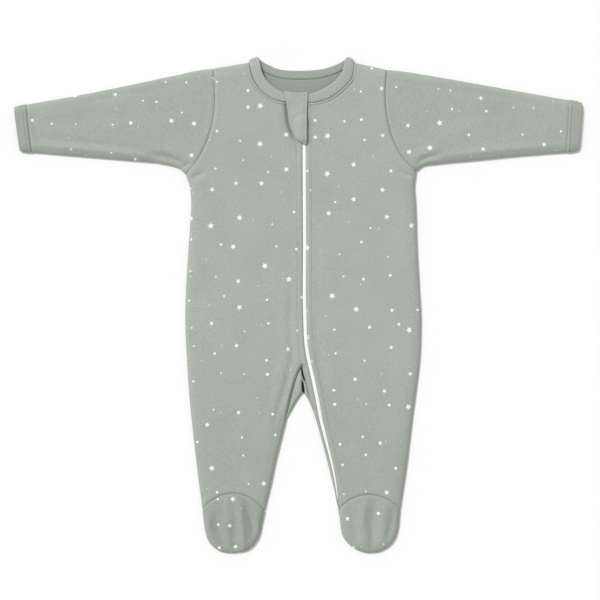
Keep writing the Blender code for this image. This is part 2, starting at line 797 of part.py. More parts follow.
def add_sleeve_tube(name, sections, wall, height, kind):
    """A hollow flattened tube. A section is its width and a function from a share of it to a plan point."""
    outer = [ring(across, width, height, 0.0) for across, width in sections]
    inner = [ring(across, width, height, wall) for across, width in sections]
    count = len(outer[0])
    points = [p for r in outer for p in r] + [p for r in inner for p in r]
    shift = len(outer) * count
    faces = []
    for i in range(len(outer) - 1):
        for k in range(count):
            n = (k + 1) % count
            a, b, c, d = i * count + k, i * count + n, (i + 1) * count + n, (i + 1) * count + k
            faces.append((a, b, c, d))
            faces.append((d + shift, c + shift, b + shift, a + shift))
    last = (len(outer) - 1) * count
    for k in range(count):
        n = (k + 1) % count
        faces.append((n, k, k + shift, n + shift))
        faces.append((last + k, last + n, last + n + shift, last + k + shift))
    if name.endswith("right"):
        faces = [tuple(reversed(face)) for face in faces]
    return add_piece(name, points, faces, kind)


def sleeve_sections(side):
    rows = SLEEVES[side]
    top = smooth([(r["top_x"], r["top_y"]) for r in rows])
    under = smooth([(r["under_x"], r["under_y"]) for r in rows])
    shift = -1.5 * SEAM if side == "right" else 1.5 * SEAM
    armhole = [(x + shift, y) for x, y in ARMHOLE[side]]
    sections = []
    for t in SLEEVE_STEPS:
        a = walk(top, [t])[0]
        b = walk(under, [t])[0]
        bend = (1.0 - t) ** 3
        if t == 0.0:
            a, b = armhole[0], armhole[-1]

        def across(share, a=a, b=b, bend=bend):
            x, y = mix(a, b, share)
            on = walk(armhole, [share])[0]
            flat = mix(armhole[0], armhole[-1], share)
            return (x + bend * (on[0] - flat[0]), y + bend * (on[1] - flat[1]))

        sections.append((across, hypot(b[0] - a[0], b[1] - a[1])))
    return sections


def cuff_sections(side):
    sections = []
    for row in CUFFS[side]:
        a = (row["top_x"], row["top_y"])
        b = (row["under_x"], row["under_y"])
        sections.append((lambda share, a=a, b=b: mix(a, b, share), hypot(b[0] - a[0], b[1] - a[1])))
    return sections


# Neck binding


def band_section(seam, edge, normal):
    """Five corners round a folded band: its sewn edge, flat sides and rounded free edge."""
    half = BAND / 2.0
    near = mix(seam, edge, 0.82)
    lift = tuple(half * n for n in normal)
    low_seam = tuple(p - d for p, d in zip(seam, lift))
    low_near = tuple(p - d for p, d in zip(near, lift))
    high_near = tuple(p + d for p, d in zip(near, lift))
    high_seam = tuple(p + d for p, d in zip(seam, lift))
    return [low_seam, low_near, edge, high_near, high_seam]


def inset(point):
    """Moves a seam point SEAM towards the opening."""
    seam_x, seam_y, edge_x, edge_y = point
    size = hypot(edge_x - seam_x, edge_y - seam_y)
    share = SEAM / size
    return (seam_x + (edge_x - seam_x) * share, seam_y + (edge_y - seam_y) * share, edge_x, edge_y)


def front_band(side):
    """Sections from the zip up to the shoulder."""
    points = [inset(p) for p in neck_points(FRONT_NECK[side], even(NECK_COLUMNS))][::-1]
    lowest = BAND / 2.0 + 2.0 * FOLD_RADIUS
    highest = UPPER + BAND / 2.0
    shoulder = points[-1]
    rows = []
    for seam_x, seam_y, edge_x, edge_y in points:
        gap = hypot(seam_x - shoulder[0], seam_y - shoulder[1])
        z = lowest + (highest - lowest) * rise(gap, ROLL)
        rows.append(((seam_x, seam_y, z), (edge_x, edge_y, z), (0.0, 0.0, 1.0)))
    return rows


def fold_band(side):
    """Sections over the shoulder, from the front layer down to the back one."""
    seam_x, seam_y, edge_x, edge_y = inset(neck_points(FRONT_NECK[side], [0.0])[0])
    size = hypot(edge_x - seam_x, edge_y - seam_y)
    out_x, out_y = -(edge_y - seam_y) / size, (edge_x - seam_x) / size
    if out_y < 0.0:
        out_x, out_y = -out_x, -out_y
    rows = []
    for turn in even(4)[1:-1]:
        angle = pi * turn
        push = FOLD_RADIUS * sin(angle)
        z = BAND / 2.0 + FOLD_RADIUS * (1.0 + cos(angle))
        seam = (seam_x + out_x * push, seam_y + out_y * push, z)
        edge = (edge_x + out_x * push, edge_y + out_y * push, z)
        rows.append((seam, edge, (out_x * sin(angle), out_y * sin(angle), cos(angle))))
    return rows


def back_band():
    """Sections across the back, from the left shoulder to the right one."""
    points = [inset(p) for p in neck_points(BACK_NECK, even(BACK_NECK_COLUMNS))][::-1]
    z = BAND / 2.0
    return [((a, b, z), (c, d, z), (0.0, 0.0, -1.0)) for a, b, c, d in points]


def add_binding():
    rows = front_band("left") + fold_band("left") + back_band()
    rows += fold_band("right")[::-1] + front_band("right")[::-1]
    return add_tube("neck_binding", [band_section(*row) for row in rows], fan(5), "plain")


# Zip


# The tape and then the coil on it
ZIP_END = ((0, 1, 2), (0, 2, 3), (0, 3, 8), (0, 8, 9), (3, 4, 5), (3, 5, 6), (3, 6, 7), (3, 7, 8))


def add_zip():
    rings = []
    heights = [row["y"] for row in ZIP]
    places = []
    for top, bottom in zip(heights, heights[1:]):
        step = ZIP_STEP_AT_BEND if abs(top - BEND_Y) < BEND_REACH else ZIP_STEP
        parts = max(1, round((top - bottom) / step))
        places += [top + (bottom - top) * k / parts for k in range(parts)]
    places.append(heights[-1])
    for y in places:
        x, _, coil, tape_right, tape_left, depth = zip_at(y)
        thick = max(TAPE_THINNEST, min(TAPE_THICKEST, depth - SEAM - 0.05))
        spots = []
        for offset in (-coil - tape_right, coil + tape_left):
            spots.append((x + offset, y, upper(x + offset, y) - depth))
        rights = upper(x - coil, y)
        lefts = upper(x + coil, y)
        rings.append(
            [
                spots[0],
                spots[1],
                (spots[1][0], y, spots[1][2] + thick),
                (x + coil, y, lefts - depth + thick),
                (x + coil, y, lefts + COIL_EDGE),
                (x + coil * 0.5, y, (lefts * 3 + rights) / 4 + COIL_CROWN),
                (x - coil * 0.5, y, (lefts + rights * 3) / 4 + COIL_CROWN),
                (x - coil, y, rights + COIL_EDGE),
                (x - coil, y, rights - depth + thick),
                (spots[0][0], y, spots[0][2] + thick),
            ]
        )
    return add_tube("zip", rings, ZIP_END, "zip")


def add_slider():
    """A plain slider on the coil, with its pull lying up towards the neck, in one body."""
    x, y = x_at(ZIP_LINE, SLIDER_Y), SLIDER_Y
    base = UPPER + CLOTH + PLACKET + SEAM
    outline = [
        (-SLIDER_LENGTH / 2, SLIDER_WIDTH * 0.36, SLIDER_THICK * 0.7),
        (-SLIDER_LENGTH / 4, SLIDER_WIDTH * 0.5, SLIDER_THICK),
        (SLIDER_LENGTH / 4, SLIDER_WIDTH * 0.5, SLIDER_THICK),
        (SLIDER_LENGTH / 2, SLIDER_WIDTH * 0.42, SLIDER_THICK * 0.8),
        (SLIDER_LENGTH / 2 + 0.6, PULL_WIDTH * 0.5, PULL_THICK),
        (SLIDER_LENGTH / 2 + PULL_LENGTH - 1.0, PULL_WIDTH * 0.5, PULL_THICK),
        (SLIDER_LENGTH / 2 + PULL_LENGTH, PULL_WIDTH * 0.3, PULL_THICK),
    ]
    rings = []
    for along, half, thick in reversed(outline):
        rings.append(
            [
                (x - half, y + along, base),
                (x + half, y + along, base),
                (x + half, y + along, base + thick * 0.7),
                (x + half * 0.7, y + along, base + thick),
                (x - half * 0.7, y + along, base + thick),
                (x - half, y + along, base + thick * 0.7),
            ]
        )
    return add_tube("zip_slider", rings, fan(6), "slider")


def add_guard():
    rows = smooth([(r["left_x"], r["y"], r["right_x"]) for r in GUARD], 2)
    bump_x = x_at(ZIP_LINE, SLIDER_Y)
    bump_low = SLIDER_Y - SLIDER_LENGTH / 2
    bump_high = SLIDER_Y + SLIDER_LENGTH / 2 + PULL_LENGTH
    below = {}
    above = {}
    keys = []
    for i, (left_x, y, right_x) in enumerate(rows):
        names = []
        for j, share in enumerate(even(GUARD_COLUMNS)):
            x = left_x + (right_x - left_x) * share
            beside = max(abs(x - bump_x) - SLIDER_WIDTH / 2, 0.0)
            beyond = max(bump_low - y, y - bump_high, 0.0)
            z = UPPER + GUARD_LIFT + GUARD_BUMP * (1.0 - ease((hypot(beside, beyond) - 2.5) / 8.0))
            key = ("guard", i, j)
            below[key] = (x, y, z)
            above[key] = (x, y, z + CLOTH)
            names.append(key)
        keys.append(names)
    # The lip turns down outside the free edge of the binding
    free_edge = [(r["edge_x"], r["edge_y"]) for r in FRONT_NECK["right"] + FRONT_NECK["left"][::-1]]
    free_edge = smooth(free_edge)
    flat = UPPER + GUARD_LIFT
    lip = []
    for part, (out, drop, lean) in enumerate(((0.1, 0.0, 0.5), (0.5, 1.0, 1.0), (0.5, GUARD_LIP, 1.0))):
        names = []
        for j, share in enumerate(even(GUARD_COLUMNS)):
            x = rows[0][0] + (rows[0][2] - rows[0][0]) * share
            key = ("lip", part, j)
            y = y_at(free_edge, x) + out
            below[key] = (x, y, flat - drop)
            above[key] = (x, y + CLOTH * lean, flat - drop + CLOTH * (1.0 - lean) * 1.6)
            names.append(key)
        lip.insert(0, names)
    return add_wall("zip_guard", cells_between(lip + keys), below, above, "plain")


for old in list(bpy.data.objects):
    bpy.data.objects.remove(old, do_unlink=True)

add_back()
for wearer in SIDE_NAMES:
    add_front(wearer)
    add_foot(wearer)
    add_sleeve_tube("sleeve_" + wearer, sleeve_sections(wearer), CLOTH, SLEEVE_HEIGHT, "jersey")
    add_sleeve_tube("cuff_" + wearer, cuff_sections(wearer), BAND, CUFF_HEIGHT, "plain")
add_binding()
add_zip()
add_slider()
add_guard()
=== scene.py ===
"""Looks for the footed baby sleepsuit, laid flat with its front up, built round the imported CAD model.

Sizes are in millimetres until a mesh is made. +X runs to the wearer's left sleeve, +Y to the neck and +Z up.
"right" and "left" are the wearer's. Heights are of a face of the cloth over the surface that it lies on.
"""

from math import pi, radians

import bmesh
import bpy
import numpy as np
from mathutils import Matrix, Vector


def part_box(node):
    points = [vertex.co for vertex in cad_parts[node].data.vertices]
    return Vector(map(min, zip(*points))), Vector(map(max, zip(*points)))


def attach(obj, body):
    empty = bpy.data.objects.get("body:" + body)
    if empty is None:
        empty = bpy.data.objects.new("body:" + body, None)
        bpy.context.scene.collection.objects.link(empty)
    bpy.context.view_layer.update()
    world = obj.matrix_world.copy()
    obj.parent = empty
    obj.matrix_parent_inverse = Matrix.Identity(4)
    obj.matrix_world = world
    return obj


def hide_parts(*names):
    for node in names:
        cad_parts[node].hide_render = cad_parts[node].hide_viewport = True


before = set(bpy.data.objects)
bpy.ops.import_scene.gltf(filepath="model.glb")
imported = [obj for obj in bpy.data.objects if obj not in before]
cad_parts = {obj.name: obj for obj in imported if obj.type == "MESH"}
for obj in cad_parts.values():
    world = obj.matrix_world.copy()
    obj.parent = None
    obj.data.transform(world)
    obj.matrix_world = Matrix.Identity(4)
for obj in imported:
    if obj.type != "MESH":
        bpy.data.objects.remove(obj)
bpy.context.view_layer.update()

MM = 0.001  # metres

# Cloth
CLOTH = 0.9  # one layer of jersey
BAND = 1.9  # doubled jersey of the cuffs and the neck binding
RIM_BULGE = 0.3  # of a cut edge, in thicknesses
SEAM = 0.4  # gap at an armhole or ankle seam
CURL = 0.9  # how far the back lifts at its edge
CURL_REACH = 5.0
EDGE_TOP = 3.1  # the top of the upper layer where it meets the edge of the back
UPPER_TOP = 6.2  # the top of the upper layer inside the edge
ROLL = 13.0  # how far in from the edge it reaches that height
FOOT_TOP = 7.0
FOOT_ROLL = 1.1 * ROLL
FOOT_LOW = 0.2  # the least that a foot stands over its edge, in its deepest folds
FOOT_TURNS = (0.3, 0.7)  # where the toe's row of points begins and ends, as shares of the way round
FOOT_LENGTH = 44.0  # of the rows of points from heel to toe
HEEL_RISE = 13.0
ANKLE_RISE = {"right": 18.6, "left": 16.2}

# Sleeves and cuffs, as flattened tubes
SLEEVE_HEIGHT = 6.0
CUFF_HEIGHT = 6.5
CUFF_TUCK = 0.08  # how far the cuff reaches into the sleeve, as a share of its own length
TUBE_MIDDLE = 0.40  # the height of a tube's widest line, as a share of its own
TUBE_ROLL = 9.5
TUBE_FOOT = 4.5
SLEEVE_POINTS = 66  # across the upper half of a ring
CUFF_POINTS = 50
SLEEVE_TURN = {"right": 93.0, "left": -93.0}  # of the cloth's grain, in degrees
CUFF_TURN = 88.0

# Neck binding
BINDING_SEAM = 0.2
BINDING_LIFT = 0.1  # of its underside over the fronts' underside
BINDING_CLIMB = 15.0  # how far from the shoulder it reaches that height
FOLD_RADIUS = 1.3  # of the binding's fold at the shoulder
FOLD_BOW = 1.7  # how far the fold's middle bows out
BACK_RIDGE = 0.45  # of the back binding over its stitching
FRONT_SECTIONS = 70
BACK_SECTIONS = 80

# Front edges, seams and stitching
PLACKET_WIDTH = 5.0  # of the flat strip beside the zip, as far as its row of stitching
PLACKET_RISE = 0.35
PLACKET_GROOVE = {"right": 0.6, "left": 0.4}
PLACKET_COLUMNS = 7
SHIN_DIP = 0.75  # how far the strip beside the coil turns down towards it on the shin
GUSSET_RISE = 3.0  # of the back where it shows between the inseams
GUSSET_ROLL = 4.0
GUSSET_LOW = (-22.0, -130.0)  # the corners of that part of the back
GUSSET_HIGH = (28.0, -62.0)
OPENING_DEPTH = 6.0  # of the openings at the crotch, at which their painted shadow is darkest
TAIL_END = -211.0  # of the strip beside the coil
STITCH = 2.1
STITCH_PITCH = 2.7
STITCH_SINK = 0.02
STITCH_ENDS = {"right": -39.462, "left": -196.0}  # of the rows beside the zip
THREAD = 0.22
COLLAR_STITCH = 2.6  # from the neck seam to its row of stitching

# Zip
ZIP_SEAM = 0.15
BEND_CLEAR = 0.15  # the coil's further clearance at the bend
BEND_Y = -58.0
BEND_REACH = 32.0
RIB_PITCH = 1.3  # of the coil
RIB_ROWS = 5  # of points to each rib
RIB_HEIGHT = 0.13
COIL_SHARES = (-1.0, -0.96, -0.8, -0.5, -0.2, 0.0, 0.2, 0.5, 0.8, 0.96, 1.0)  # of its half width
COIL_DROP = 1.4  # from the fronts' top down to the foot of the coil's dome
COIL_DOME = 0.75
COIL_GROOVE = 0.12  # between its two sides
COIL_SKIRT = 0.7  # how far its edges turn down
ZIP_SINK = 1.6  # how far the coil sinks at its lower end
SINK_FROM = -208.0
SINK_LENGTH = 7.0
TAPE = 0.5
TAPE_DROP = 1.1  # of the tape below the fronts' underside
TAPE_END = -140.0
ZIP_OVERLAP = 5.0  # of the tape under each front

# Guard
GUARD_CLOTH = 1.2
GUARD_HEIGHT = 2.5  # of the guard's top over the fronts
GUARD_HOLLOW = 3.9  # depth of the fronts' hollow beside it
SLIDER_BUMP = 1.75  # how far it rises over the slider
LIP_RADIUS = 1.5  # of its turn over the binding
LIP_CLEAR = 0.2  # from the binding's free edge to that turn
LIP_DROPS = (1.2, 2.4, 3.4)  # of the rows of points below it

# Folds along an edge or seam: how far from it, the half width and the height, below 0 for a groove
SEAM_ALLOWANCE = ((3.6, 2.4, 0.28),)
COLLAR_FOLDS = ((1.5, 1.0, 0.8), (0.0, 0.5, -0.8), (3.2, 0.8, -0.6), (5.0, 1.3, 0.2))
CROTCH_FOLDS = ((2.4, 1.0, 0.4), (4.4, 0.9, -0.6))
CUFF_FOLDS = ((1.8, 0.9, 0.35), (3.6, 0.7, -0.8))
GUARD_FOLDS = ((1.2, 0.6, 0.35), (2.6, 0.6, -0.55))

# Mesh spacing
FINE = 1.35
COARSE = 2.1

# Camera and light
CAMERA_X = 2.3
CAMERA_Y = 5.8
FRAME_WIDTH = 660.0
LENS = 85.0
SENSOR = 36.0
ROOM_LIGHT = 0.50
KEY_LIGHT = 2.27
KEY_WIDTH = 16.0  # degrees
KEY_FROM = (-0.62, 0.66, 1.0)
FLOOR_SIZE = 4.0  # metres
FLOOR_DROP = 0.3  # of the floor below the garment

# Colours, linear. A shade is a share of the sage
SAGE = (0.392, 0.437, 0.376)
# The inside is darker partly by its own duller tone and partly by painted shadow, where the fronts shade the
# back inside the neck.
INSIDE_TONE_AND_PAINTED_SHADOW = 0.80
# Painted shade: the back of the binding is darker for the shadow that falls on it inside the neck.
BACK_BAND_PAINTED_SHADE = 0.88
DEEP_PAINTED_SHADOW = 0.02  # painted shadow in the openings at the crotch, where the inside of the leg lies in shade
CUFF_SHADE = 0.90
# Painted shade: the feet are darker than the legs, the right foot more than the left.
FOOT_PAINTED_SHADE = {"right": 0.86, "left": 0.91}
# Painted shade: the sleeves are a little darker than the body of the same cloth.
SLEEVE_PAINTED_SHADE = 0.97
THREAD_SHADES = (0.66, 0.8)
PRINT_WHITE = (0.93, 0.935, 0.91)
ZIP_WHITE = (0.95, 0.95, 0.94)
TAPE_WHITE = (0.88, 0.88, 0.86)
ENAMEL = ((0.80, 0.81, 0.80), (0.88, 0.89, 0.88))
FLOOR_WHITES = ((0.955, 0.955, 0.955), (0.965, 0.965, 0.965))

# Surfaces
SHEEN_ROUGHNESS = 0.5
SPECULAR = 0.25

# Jersey
HEATHER = 0.10  # how far the cloth's mottling strays from its colour
HEATHER_SCALE = 1.1
MOTTLE_SCALE = 0.028
MOTTLE_SHARE = 0.14
WALE_SCALE = 0.39
WALE_DEPTH = 0.02
GRAIN_SCALE = 1.3
GRAIN_DEPTH = 0.13
LEG_PAINTED_SHADE = 0.065  # painted shade: how far a front darkens down the leg
LEG_PAINTED_SHADE_FROM = -20.0
LEG_PAINTED_SHADE_TO = -180.0
OPENING_EDGE = (0.3, 0.55)  # of the depth, from where the painted shadow begins to where it is full

# Print of stars, dots and specks
MOTIF_CELL = 29.5
MOTIF_SCATTER = 0.7
STAR_SHARE = 0.38
STAR_SIZES = (2.4, 3.6)
STAR_EDGE = (0.46, 0.888)  # across the line from a star's tip to its notch
DOT_SIZES = (0.8, 1.75)
PRINT_BLUR = 0.4
SPECK_CELL = 52.0
SPECK_SIZE = 0.7
SPECK_WHITE = 0.6
PRINT_WEAR = 0.86  # the least of the print's cover, in the hollows of the knit

# Where each printed piece's cloth lies in the design
PRINT_SHIFTS = {
    "front_right": (13.0, 4.0, 0.0),
    "front_left": (-61.0, 37.0, 0.0),
    "back": (29.0, -17.0, 0.0),
    "foot_right": (47.0, 21.0, 0.0),
    "foot_left": (-18.0, 66.0, 0.0),
    "sole": (71.0, -33.0, 0.0),
    "sleeve": (19.0, 52.0, 0.0),
}


def table(columns, *rows):
    """Rows as dictionaries with the named columns."""
    names = columns.split()
    return [dict(zip(names, row)) for row in rows]


# Soft unevenness of lying cloth
UNEVENNESS = table(
    "height size seed shift",
    (0.16, 34.0, 3, 0.0),
    (0.10, 15.0, 5, 7.0),
    (0.035, 5.0, 9, 0.0),
)

ARMHOLES = table(
    "place right_x right_y left_x left_y",
    ("shoulder", -93.5, 260.6, 97.8, 259.2),
    ("upper", -91.7, 240, 95.9, 236),
    ("middle", -91.5, 221, 96.8, 215),
    ("lower", -94.2, 200, 100.2, 196.5),
    ("turn", -100.7, 179, 106.2, 178.5),
    ("under", -111.4, 158.8, 115.8, 162),
    ("underarm", -123.4, 144, 130, 148),
)

SIDES = table(
    "place y right_x left_x",
    ("chest", 131, -119, 128),
    ("ribs", 117, -117.4, 129),
    ("waist", 94, -118.3, 130),
    ("belly", 62, -120.4, 130.9),
    ("hip", 22, -122.9, 133.2),
    ("seat", -20, -123.9, 135.2),
    ("thigh", -61, -122, 133.6),
    ("lower thigh", -99, -119.5, 129),
    ("knee", -126, -116.9, 125.4),
    ("shin", -173, -111.6, 119.8),
    ("lower shin", -204, -107.7, 115.3),
    ("ankle", -225, -104.9, 112),
)

FRONT_INSEAMS = table(
    "place y right_x left_x",
    ("crotch", -66, 5, 5),
    ("under crotch", -72, 1, 5.6),
    ("top of leg", -80, -2.3, 7.7),
    ("thigh", -94, -6.3, 11.2),
    ("lower thigh", -110, -10.3, 15.6),
    ("knee", -127, -13.9, 20.4),
    ("calf", -144, -18, 25.2),
    ("shin", -169, -24.2, 31.8),
    ("lower shin", -199, -30.6, 39.2),
    ("ankle", -226, -37.3, 46.2),
)

BACK_INSEAMS = table(
    "place y right_x left_x",
    ("crotch", -96, 5.6, 5.6),
    ("under crotch", -99.5, 2.6, 8.7),
    ("top of leg", -105, -1.2, 12),
    ("thigh", -115, -7, 16.3),
    ("knee", -127, -13.3, 20.4),
    ("calf", -144, -18, 25.2),
    ("shin", -169, -24.2, 31.8),
    ("lower shin", -199, -30.6, 39.2),
    ("heel", -236, -39.6, 46.8),
)

TOES = table(
    "place right_x right_y left_x left_y",
    ("outer ankle", -104.9, -225, 112, -225),
    ("outer heel", -104, -234, 111.2, -234),
    ("outer side", -102.2, -248, 109.7, -248),
    ("outer ball", -97.6, -261, 104.8, -260),
    ("outer toe", -88, -269.8, 96, -268.2),
    ("toe", -70.8, -272.5, 78, -272.5),
    ("inner toe", -54.5, -268.8, 61, -267),
    ("inner ball", -44.5, -257.5, 51, -256.8),
    ("inner heel", -39.7, -239, 46.8, -239),
    ("inner ankle", -37.3, -226, 46.2, -224),
)

FRONT_NECK = {
    "right": table(
        "place seam_x seam_y edge_x edge_y",
        ("shoulder", -53.6, 267.2, -42.4, 271.1),
        ("side", -50.7, 253.6, -39.3, 256.4),
        ("turn", -43.2, 239.4, -31.8, 245),
        ("front", -27.6, 227.2, -20.4, 236),
        ("near zip", -11, 223.4, -8.6, 233),
        ("zip", 4.2, 222.5, 4.2, 232.4),
    ),
    "left": table(
        "place seam_x seam_y edge_x edge_y",
        ("shoulder", 61.6, 267.2, 52.2, 271),
        ("side", 59.6, 251, 48.3, 256.8),
        ("turn", 49.6, 238.8, 39.8, 246),
        ("front", 35, 228.2, 28, 238.4),
        ("near zip", 22, 223.8, 18.6, 234.2),
        ("zip", 9.8, 222.5, 9.8, 232.6),
    ),
}

BACK_NECK = table(
    "place seam_x seam_y edge_x edge_y",
    ("right shoulder", -53.6, 267.2, -42.4, 271.1),
    ("right side", -40.9, 259.2, -35.2, 266.6),
    ("right back", -25, 252, -22, 260.9),
    ("centre", 4, 249, 4, 258.9),
    ("left back", 31, 251.8, 28.6, 261.1),
    ("left side", 48.6, 258.4, 43.2, 266),
    ("left shoulder", 61.6, 267.2, 52.2, 271),
)

SLEEVES = {
    "right": table(
        "place top_x top_y under_x under_y",
        ("armhole", -93.9, 260.8, -123.9, 144.2),
        ("upper arm", -106, 259.4, -130, 150.4),
        ("above elbow", -135, 253.4, -147, 155.8),
        ("elbow", -178, 244.2, -184, 159.8),
        ("forearm", -232, 233.2, -236, 164.2),
        ("wrist", -299.2, 221.2, -293, 169),
    ),
    "left": table(
        "place top_x top_y under_x under_y",
        ("armhole", 98.3, 259.4, 130.5, 148.2),
        ("upper arm", 112, 258.2, 137, 153.4),
        ("above elbow", 142, 253.6, 153, 156),
        ("elbow", 186, 246, 192, 159.8),
        ("forearm", 240, 236.4, 244, 165),
        ("wrist", 299, 226, 295.7, 169),
    ),
}

CUFFS = {
    "right": table(
        "place top_x top_y under_x under_y",
        ("seam", -299.5, 221.8, -293.3, 168.4),
        ("middle", -306.6, 220.4, -300.2, 168.9),
        ("edge", -313, 218.4, -306.6, 169.8),
    ),
    "left": table(
        "place top_x top_y under_x under_y",
        ("seam", 299.3, 226.6, 296, 168.4),
        ("middle", 306.6, 225.4, 302.8, 169.2),
        ("edge", 313, 223.4, 309, 170.6),
    ),
}

ZIP = table(
    "place y x coil",
    ("neck", 229, 7, 2.2),
    ("chest", 160, 7.1, 2.2),
    ("belly", 72, 7.5, 2.2),
    ("hip", -16, 7.8, 2.2),
    ("seat", -42, 9.1, 2.2),
    ("crotch", -60, 12, 2.2),
    ("top of leg", -76, 15.6, 2.2),
    ("thigh", -94, 19.4, 2.2),
    ("lower thigh", -110, 22.6, 2.2),
    ("knee", -127, 25.9, 2),
    ("calf", -144, 30.1, 1.75),
    ("shin", -166, 35.6, 1.4),
    ("lower shin", -192, 41.1, 1.1),
    ("ankle", -214, 44.1, 0.6),
)

GUARD = table(
    "place y left_x right_x",
    ("binding", 232.6, -15, 11.4),
    ("neck seam", 222, -12.6, 10.7),
    ("upper", 212, -11, 10.3),
    ("middle", 201, -9.7, 10.2),
    ("lower", 191, -6.4, 10.2),
    ("round", 184, -2.4, 10.2),
    ("turn", 179.5, 2.6, 10.2),
    ("tip", 176.8, 7.4, 9.9),
)

# Creases laid one by one: three points of each, its half width, and its height, below 0 for a trough
CREASES = table(
    "place x0 y0 x1 y1 x2 y2 width height",
    ("beside zip", -8, 34, -8.5, -12, -6, -70, 3.2, -0.55),
    ("ridge beside zip", -14.5, 30, -15.5, -14, -13, -66, 4.5, 0.5),
    ("right groin", -4, -44, -11, -80, -27, -136, 3.6, -1.1),
    ("ridge over right groin", -12, -40, -20, -82, -35, -142, 5.5, 0.8),
    ("right inner thigh", -5.5, -84, -13, -108, -21, -134, 3.6, 0.7),
    ("left of zip on hip", 19.5, -8, 20.5, -34, 25, -64, 3.4, -0.5),
    ("left groin", 21, -50, 29, -88, 54, -122, 5.5, -1.3),
    ("ridge over left groin", 33, -60, 41, -88, 62, -122, 7.5, 0.7),
    ("under left groin", 30, -104, 40, -120, 58, -134, 6, 0.6),
    ("right underarm", -120, 139.5, -113, 141.5, -103, 147, 2.6, -1.6),
    ("right underarm ridge", -121, 130, -112, 133, -98, 141, 5, 0.6),
    ("left underarm", 129, 141, 121, 143, 110, 150, 2.6, -1.4),
    ("right side", -112, 18, -113, -18, -110, -66, 5.5, -0.45),
    ("right chest", -84, 172, -66, 184, -48, 190, 9, 0.4),
    ("left chest", 92, 176, 74, 186, 52, 190, 9, 0.4),
    ("right belly", -58, 92, -62, 30, -56, -34, 15, 0.35),
    ("left belly", 70, 96, 74, 34, 70, -30, 15, 0.35),
    ("right knee", -84, -96, -74, -128, -80, -176, 9, -0.4),
    ("left knee", 92, -88, 84, -130, 88, -182, 9, -0.45),
    ("right shin", -46, -158, -52, -182, -56, -204, 7, 0.45),
    ("left shin", 64, -150, 66, -176, 70, -202, 7, 0.4),
    ("ridge beside guard", -24, 222, -20.5, 200, -10, 174, 4.6, 0.6),
    ("under guard tip", -2, 178, 0.5, 170, 1, 158, 2.6, -0.5),
)

FOOT_CREASES = table(
    "place x0 y0 x1 y1 x2 y2 width height",
    ("right outer rim", -100.5, -228, -98.5, -244, -92, -260, 3, 2),
    ("right outer", -93, -226, -88, -245, -80, -266, 5.6, -3.2),
    ("right outer ridge", -80, -206, -76, -232, -74, -252, 5, 1.4),
    ("right middle", -72, -236, -70.5, -254, -67, -276, 5, -2),
    ("right inner ridge", -64, -218, -61, -246, -58, -274, 3.6, 3),
    ("right inner", -60, -214, -51.5, -234, -47, -256, 4.6, -3.4),
    ("right inner edge", -47, -226, -43.5, -240, -46, -256, 2.6, 1.6),
    ("right toe", -84, -261, -70, -266.5, -58, -263, 3.6, -1.5),
    ("left inner", 56, -222, 61, -242, 68, -264, 6, -1.9),
    ("left ridge", 75, -208, 71, -238, 73, -268, 5.2, 1.5),
    ("left middle", 86, -210, 82.5, -238, 83, -272, 5.6, -2.2),
    ("left outer ridge", 97, -212, 94, -238, 91, -264, 5, 1.3),
    ("left outer", 106, -222, 103, -240, 98, -260, 4, -1.6),
)

SLEEVE_CREASES = table(
    "place x0 y0 x1 y1 x2 y2 width height",
    ("right hem", -150, 161, -206, 168.5, -290, 176, 3.6, 1.1),
    ("right underarm", -119, 151, -133, 159, -166, 166, 3.2, -2.4),
    ("right underarm ridge", -122, 162, -138, 168.5, -168, 175, 4.6, 1),
    ("right armpit", -117, 156.5, -121.5, 155, -127, 151.5, 1.8, -1.8),
    ("right over hem", -150, 171, -214, 177, -294, 184, 4.6, -1),
    ("right cuff gather", -279, 180, -288, 190, -294, 204, 3.6, -1),
    ("right top trough", -112, 248, -200, 231, -294, 213, 5, -0.9),
    ("right elbow", -146, 178, -176, 194, -216, 198, 9, 0.9),
    ("right forearm", -204, 214, -238, 204, -280, 200, 8, -0.7),
    ("left hem", 150, 163, 212, 170, 290, 177, 3.8, 1),
    ("left underarm", 129, 154, 138, 160.5, 158, 166, 3, -2.2),
    ("left underarm ridge", 128, 164, 139, 169, 158, 172, 3.4, 0.8),
    ("left top trough", 118, 247, 204, 233, 294, 217, 5, -0.9),
    ("left elbow", 154, 180, 182, 195, 222, 200, 9, 0.9),
    ("left forearm", 210, 218, 246, 208, 286, 204, 8, -0.7),
)

# In the back panel. The last two are the openings at the crotch
BACK_CREASES = table(
    "place x0 y0 x1 y1 x2 y2 width height",
    ("inside neck", -30, 232, 2, 226, 34, 233, 9, 0.5),
    ("inside neck trough", -22, 242, 4, 238, 30, 242, 4, -0.3),
    ("upper opening", 4, -67, 5.6, -76.5, 9.2, -86.5, 1.15, -6),
    ("lower opening", 5, -82, 5.6, -90.5, 6.6, -99.5, 1.5, -6),
)

# Curves, as arrays with a row for each point


def points_of(rows, *columns):
    """Some columns of a table, as a tuple for each row."""
    return [tuple(row[column] for column in columns) for row in rows]


def smooth(points, steps=8):
    """A fine polyline that bends evenly through the points."""
    points = np.array(points, float)
    spans = np.maximum(np.hypot(*np.diff(points[:, :2], axis=0).T), 1e-6)
    rates = np.diff(points, axis=0) / spans[:, None]
    share = (spans[:-1] / (spans[:-1] + spans[1:]))[:, None]
    slopes = np.vstack([rates[:1], rates[:-1] + (rates[1:] - rates[:-1]) * share, rates[-1:]])
    t = (np.arange(steps) / steps)[:, None]
    start = 2 * t**3 - 3 * t**2 + 1
    leave = t**3 - 2 * t**2 + t
    end = 3 * t**2 - 2 * t**3
    arrive = t**3 - t**2
    line = []
    for i, span in enumerate(spans):
        near = points[i] * start + slopes[i] * leave * span
        line.append(near + points[i + 1] * end + slopes[i + 1] * arrive * span)
    return np.vstack(line + [points[-1:]])


